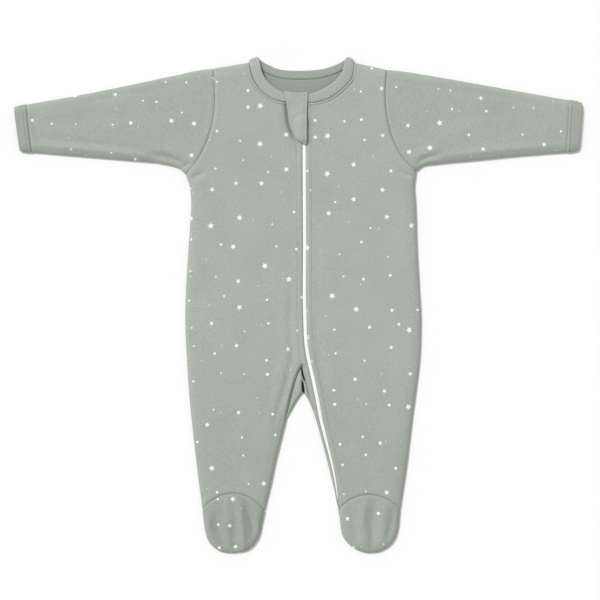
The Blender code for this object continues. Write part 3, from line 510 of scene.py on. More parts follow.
def lengths(line):
    return np.concatenate([[0.0], np.cumsum(np.hypot(*np.diff(line[:, :2], axis=0).T))])


def walk(line, shares):
    """The points at these shares of a polyline's length."""
    ends = lengths(line)
    goals = np.asarray(shares, float) * ends[-1]
    return np.stack([np.interp(goals, ends, column) for column in line.T], axis=1)


def evenly(steps):
    """Shares from 0 to 1."""
    return np.linspace(0.0, 1.0, steps + 1)


def straight(start, end, steps):
    return start + (end - start) * evenly(steps)[:, None]


def at_height(line, y, column=0):
    """A column of a line that runs down the garment, at these heights."""
    return np.interp(-np.asarray(y, float), -line[:, 1], line[:, column])


def part_of(line, top, bottom):
    """The stretch of a line that runs down the garment between two heights."""
    inside = line[(line[:, 1] < top - 1e-6) & (line[:, 1] > bottom + 1e-6)]
    ends = [np.array([[at_height(line, y), y]]) for y in (top, bottom)]
    return np.vstack([ends[0], inside[:, :2], ends[1]])


def nearest(x, y, line):
    """How far each point is from a polyline, and how far along it the nearest place lies."""
    best = np.full(x.shape, 1e9)
    along = np.zeros(x.shape)
    marks = lengths(line)
    for (ax, ay), (bx, by), mark in zip(line[:-1, :2], line[1:, :2], marks):
        ux, uy = bx - ax, by - ay
        size = max(ux * ux + uy * uy, 1e-9)
        t = np.clip(((x - ax) * ux + (y - ay) * uy) / size, 0.0, 1.0)
        gap = np.hypot(x - ax - t * ux, y - ay - t * uy)
        closer = gap < best
        best = np.where(closer, gap, best)
        along = np.where(closer, mark + t * np.sqrt(size), along)
    return best, along


def away(x, y, lines):
    return np.min([nearest(x, y, line)[0] for line in lines], axis=0)


def offset_line(line, gap):
    ahead = np.gradient(line, axis=0)
    ahead /= np.hypot(*ahead.T)[:, None]
    return line + np.column_stack([-ahead[:, 1], ahead[:, 0]]) * gap


def arch(start, end, rise_to, shares):
    """Points from start to end along a full round arch."""
    shares = np.asarray(shares, float)[:, None]
    flat = np.array(start) + (np.array(end) - np.array(start)) * shares
    flat[:, 1] += rise_to * np.maximum(np.sin(pi * shares[:, 0]), 0.0) ** 0.7
    return flat


def ease(value):
    value = np.clip(value, 0.0, 1.0)
    return value * value * (3.0 - 2.0 * value)


def bell(gap, width):
    return np.exp(-((gap / width) ** 2))


def rise(gap, reach):
    """From 0 at an edge to 1 at reach, round like the edge of a cushion."""
    q = np.clip(gap / reach, 0.0, 1.0)
    return 0.55 * np.sqrt(1.0 - (1.0 - q) ** 2) + 0.45 * (1.0 - (1.0 - q) ** 2.2)


def folds_at(gap, rows):
    """The height of the folds that run along an edge, at these distances from it."""
    return sum(height * bell(gap - place, width) for place, width, height in rows)


def count_for(line, spacing):
    return max(4, int(round(lengths(line)[-1] / spacing)))


SIDE_NAMES = ("right", "left")
SIGN = {"right": -1.0, "left": 1.0}
ARMHOLE = {s: smooth(points_of(ARMHOLES, s + "_x", s + "_y")) for s in SIDE_NAMES}
SIDE = {s: smooth([ARMHOLE[s][-1]] + points_of(SIDES, s + "_x", "y")) for s in SIDE_NAMES}
FRONT_INSEAM = {s: smooth(points_of(FRONT_INSEAMS, s + "_x", "y")) for s in SIDE_NAMES}
BACK_INSEAM = {s: smooth(points_of(BACK_INSEAMS, s + "_x", "y")) for s in SIDE_NAMES}
TOE = {s: smooth(points_of(TOES, s + "_x", s + "_y")) for s in SIDE_NAMES}
NECK_SEAM = {s: smooth(points_of(FRONT_NECK[s], "seam_x", "seam_y")) for s in SIDE_NAMES}
BACK_NECK_SEAM = smooth(points_of(BACK_NECK, "seam_x", "seam_y"))
SHOULDER = {s: np.vstack([ARMHOLE[s][:1], NECK_SEAM[s][:1]]) for s in SIDE_NAMES}
ZIP_LINE = smooth(points_of(ZIP, "x", "y", "coil"))
NECK_Y = FRONT_NECK["right"][-1]["seam_y"]
CROTCH_Y = FRONT_INSEAMS[0]["y"]
ANKLE_Y = SIDES[-1]["y"]
ZIP_END = ZIP[-1]["y"]
OUTER_EDGES = [SIDE["right"], SHOULDER["right"], SIDE["left"], SHOULDER["left"]]
BACK_EDGES = OUTER_EDGES + [BACK_INSEAM[s] for s in SIDE_NAMES]
BOTH_INSEAMS = [FRONT_INSEAM[s] for s in SIDE_NAMES]


def ankle(side, shares):
    outer = (SIDES[-1][side + "_x"], ANKLE_Y)
    inner = (FRONT_INSEAMS[-1][side + "_x"], TOES[-1][side + "_y"])
    return arch(outer, inner, ANKLE_RISE[side], shares)


def heel(side, shares):
    places = {r["place"]: (r[side + "_x"], r[side + "_y"]) for r in TOES}
    return arch(places["outer heel"], places["inner heel"], HEEL_RISE, shares)


ANKLE = {s: ankle(s, evenly(59)) for s in SIDE_NAMES}


def zip_edge(side, y):
    """The edge of a front beside the zip, at these heights."""
    y = np.asarray(y, float)
    clear = ZIP_SEAM + BEND_CLEAR * bell(y - BEND_Y, BEND_REACH)
    x = at_height(ZIP_LINE, y) + SIGN[side] * (at_height(ZIP_LINE, y, 2) + clear)
    return np.stack([x, y], axis=-1)


ZIP_EDGE = {s: zip_edge(s, np.linspace(NECK_Y, ZIP_END, 160)) for s in SIDE_NAMES}


# Cloth surface


def noise(x, y, size, seed):
    """Smooth bumps between -1 and 1, about size across."""
    grid = np.random.default_rng(seed).uniform(-1.0, 1.0, (64, 64))
    u = np.mod(x / size, 64)
    v = np.mod(y / size, 64)
    i = np.floor(u).astype(int) % 64
    j = np.floor(v).astype(int) % 64
    s = ease(u - np.floor(u))
    t = ease(v - np.floor(v))
    low = grid[i, j] * (1 - s) + grid[(i + 1) % 64, j] * s
    high = grid[i, (j + 1) % 64] * (1 - s) + grid[(i + 1) % 64, (j + 1) % 64] * s
    return low * (1 - t) + high * t


def creases(x, y, rows):
    """The height that soft folds add. Each fades out towards its ends."""
    total = np.zeros(x.shape)
    for row in rows:
        line = smooth([(row["x0"], row["y0"]), (row["x1"], row["y1"]), (row["x2"], row["y2"])], 6)
        gap, along = nearest(x, y, line)
        share = along / lengths(line)[-1]
        fade = np.sin(pi * np.clip(share, 0.02, 0.98)) ** 0.7
        wander = 1.0 + 0.25 * noise(x, y, 11.0, len(row["place"]))
        total += row["height"] * bell(gap, row["width"] * wander) * fade
    return total


def unevenness(x, y):
    return sum(r["height"] * noise(x + r["shift"], y, r["size"], r["seed"]) for r in UNEVENNESS)


def sewn(x, y, line, depth=0.8, seed=1):
    """The groove along a seam, the soft ridge of its allowance and the small gathers across it."""
    gap, along = nearest(x, y, line)
    gathers = np.sin(along * (2 * pi / 6.5) + 2.2 * noise(along, np.full(gap.shape, float(seed)), 19.0, seed))
    return folds_at(gap, SEAM_ALLOWANCE) - depth * bell(gap, 0.9) + 0.09 * gathers * bell(gap - 1.5, 3.0)


def upper(x, y):
    """The height of the upper layer's top, before seams. Its edge is steepest at the crotch."""
    inseam = away(x, y, BOTH_INSEAMS) * (1.0 + 1.8 * ease((y + 132.0) / 30.0))
    gap = np.minimum(away(x, y, OUTER_EDGES), inseam)
    loft = UPPER_TOP - EDGE_TOP + creases(x, y, CREASES) + unevenness(x, y)
    return EDGE_TOP + loft * rise(gap, ROLL)


def guard_hollow(x, y):
    """The hollow that the fronts fall into along the guard's curved side."""
    edge = smooth(points_of(GUARD, "left_x", "y"), 5)
    gap = nearest(x, y, edge)[0]
    outside = x < at_height(edge, y)
    clear_of_tape = 0.5 + 0.5 * ease((-1.0 - x) / 4.0)
    ends = ease((226.0 - y) / 8.0) * ease((y - 172.0) / 12.0)
    depth = np.where(outside, bell(gap, 2.9), 1.0) * ease((4.2 - x) / 3.0)
    return -GUARD_HOLLOW * depth * clear_of_tape * ends


def front_top(x, y, side):
    """The height of a front's top, with its seams and the flat strip beside the zip."""
    z = upper(x, y)
    if side == "right":
        z += guard_hollow(x, y)
    z += sewn(x, y, ARMHOLE[side]) + sewn(x, y, ANKLE[side], 0.8, 8)
    z += sewn(x, y, FRONT_INSEAM[side], 0.2, 4) * 0.7 + sewn(x, y, SIDE[side], 0.0, 6) * 0.8
    z += folds_at(nearest(x, y, NECK_SEAM[side])[0], COLLAR_FOLDS)
    z += ease((y + 150.0) / 30.0) * folds_at(nearest(x, y, FRONT_INSEAM[side])[0], CROTCH_FOLDS)
    gap = nearest(x, y, ZIP_EDGE[side])[0]
    beyond = gap - PLACKET_WIDTH
    placket = PLACKET_RISE * (1.0 - ease(beyond + 0.2))
    placket += 0.14 * bell(beyond - 2.4, 1.6) - PLACKET_GROOVE[side] * bell(beyond, 0.8)
    z += ease((y + 175.0) / 30.0) * placket
    z -= 0.7 * np.exp(-gap / 0.6)
    if side == "right":
        z -= SHIN_DIP * ease((-112.0 - y) / 40.0) * np.exp(-gap)
    return z


def gusset(x, y):
    """How far the back rises where it shows between the two front inseams."""
    right, left = (at_height(line, y) for line in BOTH_INSEAMS)
    shows = (y < CROTCH_Y) & (x > right) & (x < left)
    front = rise(away(x, y, BOTH_INSEAMS), GUSSET_ROLL)
    own = rise(away(x, y, BACK_EDGES[-2:]), GUSSET_ROLL)
    return np.where(shows, GUSSET_RISE * front * own, 0.0)


def back_bottom(x, y):
    gap = away(x, y, BACK_EDGES)
    folds = np.maximum(gusset(x, y) + creases(x, y, BACK_CREASES), 0.0)
    return CURL * (1.0 - rise(gap, CURL_REACH)) + folds * rise(gap, 2.0)


# Meshes


def new_piece(name, points, faces, materials):
    mesh = bpy.data.meshes.new(name)
    mesh.from_pydata((np.asarray(points) * MM).tolist(), [], faces)
    for material in materials:
        mesh.materials.append(material)
    mesh.polygons.foreach_set("use_smooth", [True] * len(mesh.polygons))
    mesh.update()
    piece = bpy.data.objects.new(name, mesh)
    bpy.context.scene.collection.objects.link(piece)
    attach(piece, "root")
    return piece


def turned_over(faces):
    return [face[::-1] for face in faces]


def grid_faces(rows, columns, first=0, closed=False):
    """Faces of a grid of points kept row by row. They face up where rows go down and columns go right."""
    faces = []
    across = columns if closed else columns - 1
    for i in range(rows - 1):
        for k in range(across):
            a = first + i * columns + k
            b = first + i * columns + (k + 1) % columns
            faces.append((a, a + columns, b + columns, b))
    return faces


def shares_of(points):
    chord = points[-1] - points[0]
    return ((points - points[0]) @ chord) / (chord @ chord)


def patch(top, bottom, left, right):
    """A grid of plan points between four curves. The first two run across the garment, the others down it."""
    v = evenly(len(left) - 1)[:, None, None]
    u = (1 - v) * shares_of(top)[None, :, None] + v * shares_of(bottom)[None, :, None]
    down = (1 - v) * top[None] + v * bottom[None]
    across = (1 - u) * left[:, None] + u * right[:, None]
    high = (1 - u) * top[0] + u * top[-1]
    low = (1 - u) * bottom[0] + u * bottom[-1]
    return down + across - ((1 - v) * high + v * low)


def join_patches(patches):
    """The points and faces of patches that share edges. One that runs towards low x is turned round."""
    points = []
    faces = []
    first = 0
    for grid in patches:
        if grid[0, 0, 0] > grid[0, -1, 0]:
            grid = grid[:, ::-1]
        rows, columns = grid.shape[:2]
        points.append(grid.reshape(-1, 2))
        faces += grid_faces(rows, columns, first)
        first += rows * columns
    return np.vstack(points), faces


def weld(plan, faces):
    """The same panel with the points that its patches share merged."""
    first, where = np.unique(np.round(plan, 3), axis=0, return_index=True, return_inverse=True)[1:]
    where = where.reshape(-1)
    merged = [tuple(dict.fromkeys(where[list(face)].tolist())) for face in faces]
    return plan[first], [face for face in merged if len(face) > 2]


def refine(plan, faces, low, high, cuts):
    """The same panel with smaller faces inside a box of its plan."""
    made = bmesh.new()
    verts = [made.verts.new((x, y, 0.0)) for x, y in plan]
    for face in faces:
        made.faces.new([verts[k] for k in face])
    inside = [all(low[k] < v.co[k] < high[k] for k in (0, 1)) for v in made.verts]
    made.verts.index_update()
    edges = [e for e in made.edges if all(inside[v.index] for v in e.verts)]
    bmesh.ops.subdivide_edges(made, edges=edges, cuts=cuts, use_grid_fill=True)
    made.verts.index_update()
    plan = np.array([v.co[:2] for v in made.verts])
    faces = [tuple(v.index for v in face.verts) for face in made.faces]
    made.free()
    return plan, faces


def layer(name, plan, faces, top, materials, thickness=CLOTH, faces_down=False):
    """A panel as one closed layer of cloth with a rounded rim. top holds the height of its upper face."""
    edges = {(a, b) for face in faces for a, b in zip(face, face[1:] + face[:1])}
    rim = sorted((a, b) for a, b in edges if (b, a) not in edges)
    out = np.zeros_like(plan)
    for a, b in rim:
        along = plan[b] - plan[a]
        away_from = np.array([along[1], -along[0]]) / max(np.hypot(*along), 1e-6)
        out[a] += away_from
        out[b] += away_from
    count = len(plan)
    border = sorted({a for a, b in rim})
    middle = {a: 2 * count + k for k, a in enumerate(border)}
    unit = out[border] / np.maximum(np.hypot(*out[border].T), 1e-6)[:, None]
    edge = np.column_stack([plan[border] + unit * RIM_BULGE * thickness, top[border] - thickness / 2])
    points = np.vstack([np.column_stack([plan, top]), np.column_stack([plan, top - thickness]), edge])
    lower = [tuple(k + count for k in face) for face in turned_over(faces)]
    sides = []
    for a, b in rim:
        sides.append((a, middle[a], middle[b], b))
        sides.append((middle[a], a + count, b + count, middle[b]))
    piece = new_piece(name, points, faces + lower + sides, materials)
    slots = [int(faces_down)] * len(faces) + [int(not faces_down)] * len(lower) + [0] * len(sides)
    piece.data.polygons.foreach_set("material_index", slots)
    return piece


def declare(node):
    """Hides the CAD part that a laid piece stands for."""
    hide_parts(node)


def declare_panel(node):
    declare(node)


# Materials


def shade(colour, share):
    return tuple(c * share for c in colour)


class Nodes:
    """Makes a material's nodes and joins them."""

    def __init__(self, name):
        self.material = bpy.data.materials.new(name)
        self.material.use_nodes = True
        self.tree = self.material.node_tree
        self.shader = self.tree.nodes["Principled BSDF"]

    def add(self, kind, links=(), values=(), **settings):
        made = self.tree.nodes.new(kind)
        for name, value in settings.items():
            setattr(made, name, value)
        for socket, value in values:
            made.inputs[socket].default_value = value
        for socket, source in links:
            self.tree.links.new(source, made.inputs[socket])
        return made

    def fill(self, socket, value):
        """Gives an input a number, a colour or another node's output."""
        if isinstance(value, tuple):
            socket.default_value = (*value, 1.0)
        elif isinstance(value, (int, float)):
            socket.default_value = value
        else:
            self.tree.links.new(value, socket)

    def math(self, operation, a, b=None):
        made = self.add("ShaderNodeMath", operation=operation)
        self.fill(made.inputs[0], a)
        if b is not None:
            self.fill(made.inputs[1], b)
        return made.outputs[0]

    def ramp(self, value, low, high, to_low=0.0, to_high=1.0, kind="SMOOTHSTEP"):
        ends = [("From Min", low), ("From Max", high), ("To Min", to_low), ("To Max", to_high)]
        made = self.add("ShaderNodeMapRange", [("Value", value)], ends, interpolation_type=kind)
        return made.outputs["Result"]

    def blend(self, share, a, b):
        """Mixes two colours, each a socket or a plain colour."""
        made = self.add("ShaderNodeMix", [("Factor", share)], data_type="RGBA")
        self.fill(made.inputs[6], a)
        self.fill(made.inputs[7], b)
        return made.outputs[2]

    def noise(self, place, scale, detail=2.0, roughness=0.5):
        values = [("Scale", scale), ("Detail", detail), ("Roughness", roughness)]
        return self.add("ShaderNodeTexNoise", [("Vector", place)], values).outputs["Fac"]

    def cells(self, place, size):
        scale = [("Scale", 1.0 / size)]
        return self.add("ShaderNodeTexVoronoi", [("Vector", place)], scale, voronoi_dimensions="2D")

    def axes(self, place):
        return self.add("ShaderNodeSeparateXYZ", [("Vector", place)]).outputs

    def millimetres(self, turn=0.0, shift=(0.0, 0.0, 0.0)):
        """The place on the object in millimetres, turned and shifted."""
        place = self.add("ShaderNodeTexCoord").outputs["Object"]
        scaled = self.add("ShaderNodeMapping", [("Vector", place)], [("Scale", (1000.0, 1000.0, 1000.0))])
        values = [("Rotation", (0.0, 0.0, turn)), ("Location", shift)]
        return self.add("ShaderNodeMapping", [("Vector", scaled.outputs[0])], values).outputs[0]

    def finish(self, colour, roughness, heights, sheen=0.0):
        """Joins the colour and the bumps, each a socket with its depth in millimetres, to the shader."""
        self.fill(self.shader.inputs["Base Color"], colour)
        self.fill(self.shader.inputs["Roughness"], roughness)
        self.fill(self.shader.inputs["Sheen Weight"], sheen)
        self.fill(self.shader.inputs["Sheen Roughness"], SHEEN_ROUGHNESS)
        self.fill(self.shader.inputs["Specular IOR Level"], SPECULAR)
        normal = None
        for height, depth in heights:
            bump = self.add("ShaderNodeBump", [("Height", height)], [("Distance", depth * MM)])
            bump.inputs["Strength"].default_value = 1.0
            if normal:
                self.fill(bump.inputs["Normal"], normal)
            normal = bump.outputs[0]
        if normal:
            self.fill(self.shader.inputs["Normal"], normal)
        return self.material


def print_mask(nodes, place):
    """Scattered five-pointed stars, dots and specks, from 0 to 1, one to each cell of a loose lattice."""
    cells = nodes.cells(place, MOTIF_CELL)
    cells.inputs["Randomness"].default_value = MOTIF_SCATTER
    kind, turn, size = nodes.add("ShaderNodeSeparateColor", [("Color", cells.outputs["Color"])]).outputs
    ends = [(0, place), (1, cells.outputs["Position"])]
    local = nodes.add("ShaderNodeVectorMath", ends, operation="SUBTRACT")
    turning = [("Vector", local.outputs[0]), ("Angle", nodes.math("MULTIPLY", turn, 2 * pi))]
    x, y = nodes.axes(nodes.add("ShaderNodeVectorRotate", turning, rotation_type="Z_AXIS").outputs[0])[:2]
    radius = nodes.math("SQRT", nodes.math("ADD", nodes.math("MULTIPLY", x, x), nodes.math("MULTIPLY", y, y)))
    bearing = nodes.math("PINGPONG", nodes.math("ARCTAN2", y, x), pi / 5)
    out = nodes.math("MULTIPLY", radius, nodes.math("COSINE", bearing))
    over = nodes.math("MULTIPLY", radius, nodes.math("SINE", bearing))
    reach = nodes.ramp(size, 0.0, 1.0, *STAR_SIZES, "LINEAR")
    beyond = nodes.math("MULTIPLY", nodes.math("SUBTRACT", out, reach), STAR_EDGE[0])
    star = nodes.math("ADD", beyond, nodes.math("MULTIPLY", over, STAR_EDGE[1]))
    dot = nodes.math("SUBTRACT", radius, nodes.ramp(size, 0.0, 1.0, *DOT_SIZES, "LINEAR"))
    is_star = nodes.math("LESS_THAN", kind, STAR_SHARE)
    round_part = nodes.math("MULTIPLY", dot, nodes.math("SUBTRACT", 1.0, is_star))
    gap = nodes.math("ADD", nodes.math("MULTIPLY", star, is_star), round_part)
    motifs = nodes.ramp(gap, -PRINT_BLUR, PRINT_BLUR, 1.0, 0.0)
    speck_edge = SPECK_SIZE / SPECK_CELL
    fine = nodes.cells(place, SPECK_CELL).outputs["Distance"]
    specks = nodes.ramp(fine, 0.5 * speck_edge, 1.5 * speck_edge, SPECK_WHITE, 0.0)
    return nodes.math("MAXIMUM", motifs, specks)


def jersey(name, printed, turn=0.0, shift=(0.0, 0.0, 0.0), share=1.0, fade=False, openings=False):
    """Fine cotton jersey in a shade of the sage, with its wales along Y before turn.

    fade deepens it a little down the legs, a painted shade, and openings paints a near-black shadow where the
    mesh says that it is open.
    """
    nodes = Nodes(name)
    place = nodes.millimetres(turn, shift)
    streaks = nodes.add("ShaderNodeMapping", [("Vector", place)], [("Scale", (1.0, 0.6, 1.0))]).outputs[0]
    heather = nodes.math("MULTIPLY", nodes.noise(streaks, HEATHER_SCALE, 3.0, 0.6), 1.0 - MOTTLE_SHARE)
    mottle = nodes.math("MULTIPLY", nodes.noise(place, MOTTLE_SCALE, 3.0), MOTTLE_SHARE)
    darker, lighter = (shade(shade(SAGE, share), 1.0 + stray) for stray in (-HEATHER, HEATHER))
    cloth = nodes.blend(nodes.ramp(nodes.math("ADD", heather, mottle), 0.36, 0.64), darker, lighter)
    # Painted shade that darkens the fronts a little down the legs.
    if fade:
        down = nodes.axes(nodes.millimetres())["Y"]
        leg_shade_share = nodes.ramp(down, LEG_PAINTED_SHADE_FROM, LEG_PAINTED_SHADE_TO, 0.0, LEG_PAINTED_SHADE)
        cloth = nodes.blend(leg_shade_share, cloth, (0.0, 0.0, 0.0))
    knit = [("Scale", WALE_SCALE), ("Distortion", 0.6), ("Detail Scale", 0.4)]
    wales = nodes.add("ShaderNodeTexWave", [("Vector", place)], knit, bands_direction="X").outputs["Fac"]
    grain = nodes.noise(place, GRAIN_SCALE)
    if printed:
        worn = nodes.ramp(grain, 0.2, 0.6, PRINT_WEAR, 1.0)
        cloth = nodes.blend(nodes.math("MULTIPLY", print_mask(nodes, place), worn), cloth, PRINT_WHITE)
    if openings:
        # Painted shadow, near black, in the openings at the crotch.
        opening_shadow = nodes.add("ShaderNodeAttribute", attribute_name="opening").outputs["Fac"]
        cloth = nodes.blend(nodes.ramp(opening_shadow, *OPENING_EDGE), cloth, shade(SAGE, DEEP_PAINTED_SHADOW))
    return nodes.finish(cloth, 0.92, [(wales, WALE_DEPTH), (grain, GRAIN_DEPTH)], 0.15)


def printed_jersey(name, turn=0.0, share=1.0, fade=False):
    """Jersey for a named piece, or a kind of piece, with the print where PRINT_SHIFTS lays it."""
    shift = PRINT_SHIFTS.get(name) or PRINT_SHIFTS[name.split("_")[0]]
    return jersey("jersey_" + name, True, turn, shift, share, fade)


def grained(name, scale, dark, light, roughness, depth=0.0, span=None):
    """A plain material that drifts between two colours with a fine grain."""
    nodes = Nodes(name)
    grain = nodes.noise(nodes.millimetres(), scale)
    share = nodes.ramp(grain, *span) if span else grain
    return nodes.finish(nodes.blend(share, dark, light), roughness, [(grain, depth)] if depth else [])


def woven_tape():
    nodes = Nodes("zip_tape_weave")
    place = nodes.millimetres()
    weave = nodes.add("ShaderNodeTexChecker", [("Vector", place)], [("Scale", 2.0)]).outputs["Fac"]
    soft = nodes.noise(place, 1.4)
    height = nodes.math("ADD", nodes.math("MULTIPLY", weave, 0.4), soft)
    return nodes.finish(nodes.blend(soft, TAPE_WHITE, ZIP_WHITE), 0.85, [(height, 0.1)])


# The inside cloth, darker by its own tone and by painted shadow.
INSIDE = jersey("jersey_inside_and_painted_shadow", False, shift=(11.0, 5.0, 0.0), share=INSIDE_TONE_AND_PAINTED_SHADOW)
# The back where it shows at the crotch, with painted shadow in its openings.
GUSSET = jersey("jersey_gusset", False, shift=(7.0, 3.0, 0.0), openings=True)
PLAIN = jersey("jersey_plain", False, shift=(3.0, 9.0, 0.0))
# Binding cloth darkened with painted shade for the back of the neck.
BACK_BAND_SHADED = jersey("jersey_band_painted_shade", False, shift=(5.0, 1.0, 0.0), share=BACK_BAND_PAINTED_SHADE)


# Panels


def body_columns():
    """How many columns of faces a front has by the shoulder, the neck, the leg and the placket."""
    shoulder = count_for(SHOULDER["right"], FINE)
    neck = int(round(lengths(NECK_SEAM["right"])[-1] / (FINE * 1.25)))
    return shoulder, neck, shoulder + neck - PLACKET_COLUMNS, PLACKET_COLUMNS


def front_patches(side):
    """A front's body and leg, and the right front's tail beside the zip."""
    shoulder_count, neck_count, leg_count, placket_count = body_columns()
    neck = walk(NECK_SEAM[side], evenly(neck_count))
    top = np.vstack([walk(SHOULDER[side], evenly(shoulder_count))[:-1], neck])
    outer = np.vstack([ARMHOLE[side], part_of(SIDE[side], SIDE[side][0, 1], CROTCH_Y)[1:]])
    inner = zip_edge(side, np.linspace(neck[-1, 1], CROTCH_Y, 80))
    inner[0] = neck[-1]
    start = np.array([at_height(SIDE[side], CROTCH_Y), CROTCH_Y])
    end = zip_edge(side, CROTCH_Y)
    if side == "right":
        apex = FRONT_INSEAM["right"][0]
        leg_row = straight(start, apex, leg_count)
        tail_row = straight(apex, end, placket_count)
        bottom = np.vstack([leg_row[:-1], tail_row])
        leg_inner = FRONT_INSEAM["right"]
    else:
        leg_row = straight(start, end, leg_count + placket_count)
        bottom = leg_row
        leg_inner = zip_edge(side, np.linspace(CROTCH_Y, ZIP_END, 90))
    rows = evenly(count_for(outer, FINE))
    patches = [patch(top, bottom, walk(outer, rows), walk(inner, rows))]
    foot = ankle(side, evenly(len(leg_row) - 1))
    leg_outer = part_of(SIDE[side], CROTCH_Y, ANKLE_Y)
    leg_outer[-1] = foot[0]
    leg_inner = np.vstack([leg_row[-1:], leg_inner[1:-1, :2], foot[-1:]])
    rows = evenly(count_for(leg_outer, FINE))
    patches.append(patch(leg_row, foot, walk(leg_outer, rows), walk(leg_inner, rows)))
    if side == "right":
        heights = np.linspace(CROTCH_Y, TAIL_END, 97)
        tail_left = np.stack([at_height(FRONT_INSEAM["left"], heights), heights], axis=1)
        tail_right = zip_edge(side, heights)
        tail_left[0], tail_right[0] = tail_row[0], tail_row[-1]
        last = straight(tail_left[-1], tail_right[-1], placket_count)
        patches.append(patch(tail_row, last, tail_left, tail_right))
    return patches


def make_front(side):
    points, faces = weld(*join_patches(front_patches(side)))
    z = front_top(*points.T, side)
    cloth = printed_jersey("front_" + side, fade=True)
    piece = layer("front_" + side + "_cloth", points, faces, z, [cloth, INSIDE])
    declare_panel("front_" + side)


def back_patches():
    """The back's body and its two legs."""
    shoulders = [walk(SHOULDER[s], evenly(count_for(SHOULDER[s], COARSE))) for s in SIDE_NAMES]
    neck = walk(BACK_NECK_SEAM, evenly(count_for(BACK_NECK_SEAM, COARSE)))
    top = np.vstack([shoulders[0][:-1], neck, shoulders[1][-2::-1]])
    crotch = BACK_INSEAM["right"][0]
    sides = [np.vstack([ARMHOLE[s], part_of(SIDE[s], SIDE[s][0, 1], crotch[1])[1:]]) for s in SIDE_NAMES]
    half = len(top) // 2
    right_row = straight(sides[0][-1], crotch, half)
    left_row = straight(crotch, sides[1][-1], len(top) - half - 1)
    bottom = np.vstack([right_row[:-1], left_row])
    rows = evenly(count_for(sides[0], COARSE))
    patches = [patch(top, bottom, *(walk(line, rows) for line in sides))]
    for s, row in (("right", right_row), ("left", left_row[::-1])):
        foot = heel(s, evenly(len(row) - 1))
        outer = np.vstack([part_of(SIDE[s], crotch[1], ANKLE_Y), foot[:1]])
        inner = np.vstack([row[-1:], part_of(BACK_INSEAM[s], crotch[1] - 0.5, -234.0)[1:], foot[-1:]])
        rows = evenly(count_for(outer, COARSE))
        patches.append(patch(row, foot, walk(outer, rows), walk(inner, rows)))
    return patches


def make_back():
    points, faces = weld(*join_patches(back_patches()))
    points, faces = refine(points, faces, GUSSET_LOW, GUSSET_HIGH, 3)
    z = back_bottom(*points.T) + CLOTH
    piece = layer("back_cloth", points, faces, z, [printed_jersey("back"), INSIDE, GUSSET], faces_down=True)
    centres = np.array([points[list(face)].mean(axis=0) for face in faces])
    for index in np.nonzero(gusset(*centres.T) > 0.0)[0]:
        piece.data.polygons[int(index)].material_index = 2
    # The share of painted shadow at each point, from how deep the openings sink.
    opening_shadow = np.zeros(len(piece.data.vertices))
    opening_shadow[: len(points)] = np.clip(-creases(*points.T, BACK_CREASES) / OPENING_DEPTH, 0.0, 1.0)
    mask = piece.data.attributes.new("opening", "FLOAT", "POINT")
    mask.data.foreach_set("value", opening_shadow)
    declare_panel("back")


def foot_grid(side, top):
    """Plan points and faces from the curved top of a foot piece round to the toe."""
    top[:, 1] -= SEAM
    line = TOE[side]
    first, last = (int(np.argmin(np.hypot(*(line - p).T))) for p in (top[0], top[-1]))
    outline = np.vstack([top[:1], line[first + 1 : last], top[-1:]])
    begins, ends = FOOT_TURNS
    rows = evenly(int(FOOT_LENGTH / FINE))
    bottom = walk(outline, begins + (ends - begins) * shares_of(top))
    sides = walk(outline, begins * rows), walk(outline, 1.0 - (1.0 - ends) * rows)
    return join_patches([patch(top, bottom, *sides)])


def make_foot(side):
    """A foot's top and its sole."""
    points, faces = foot_grid(side, ankle(side, evenly(55)))
    x, y = points.T
    folds = creases(x, y, FOOT_CREASES) + unevenness(x, y)
    loft = np.maximum(FOOT_TOP - EDGE_TOP + folds, FOOT_LOW)
    loft -= (FOOT_TOP - UPPER_TOP) * (1.0 - ease(nearest(x, y, ANKLE[side])[0] / 12.0))
    z = EDGE_TOP + loft * rise(away(x, y, [TOE[side]]), FOOT_ROLL)
    z += sewn(x, y, ANKLE[side], 0.8, 8) + sewn(x, y, TOE[side], 0.0, 5)
    # The foot's cloth carries its painted shade.
    cloth = printed_jersey("foot_" + side, share=FOOT_PAINTED_SHADE[side])
    piece = layer("foot_top_" + side + "_cloth", points, faces, z, [cloth, INSIDE])
    sole = make_sole(side)
    declare_panel("foot_top_" + side)


def make_sole(side):
    points, faces = foot_grid(side, heel(side, evenly(35)))
    z = CLOTH + CURL * (1.0 - rise(away(*points.T, [TOE[side]]), CURL_REACH))
    cloth = printed_jersey("sole_" + side)
    piece = layer("sole_" + side + "_cloth", points, faces, z, [cloth, INSIDE], faces_down=True)
    declare_panel("sole_" + side)
    return piece


# Sleeves and cuffs


def tube_edges(rows):
    return [smooth(points_of(rows, edge + "_x", edge + "_y")) for edge in ("top", "under")]


def tube_ring(plan, width, height, inset, columns, lift):
    """Points round a flattened tube over plan points that run from its top edge to its lower one."""
    shares = (1.0 - np.cos(pi * evenly(columns - 1))) / 2.0
    middle = height * TUBE_MIDDLE
    squeeze = (width - 2 * inset) / width
    spots = 0.5 + (shares - 0.5) * squeeze
    gap = np.minimum(shares, 1.0 - shares) * width * squeeze
    over = plan(spots)
    under = plan(spots[-2:0:-1])
    top = height - inset - middle + lift(over[:, 0], over[:, 1])
    high = middle + top * rise(gap, TUBE_ROLL - inset)
    low = middle - (middle - inset) * rise(gap[-2:0:-1], TUBE_FOOT - inset)
    return np.vstack([np.column_stack([over, high]), np.column_stack([under, low])])


def make_tube(name, side, rings, cloth):
    """A tube through the rings."""
    rings = np.array(rings)
    faces = grid_faces(len(rings), rings.shape[1], closed=True)
    if side == "left":
        faces = turned_over(faces)
    piece = new_piece(name + "_" + side + "_cloth", rings.reshape(-1, 3), faces, [cloth])
    declare(name + "_" + side)


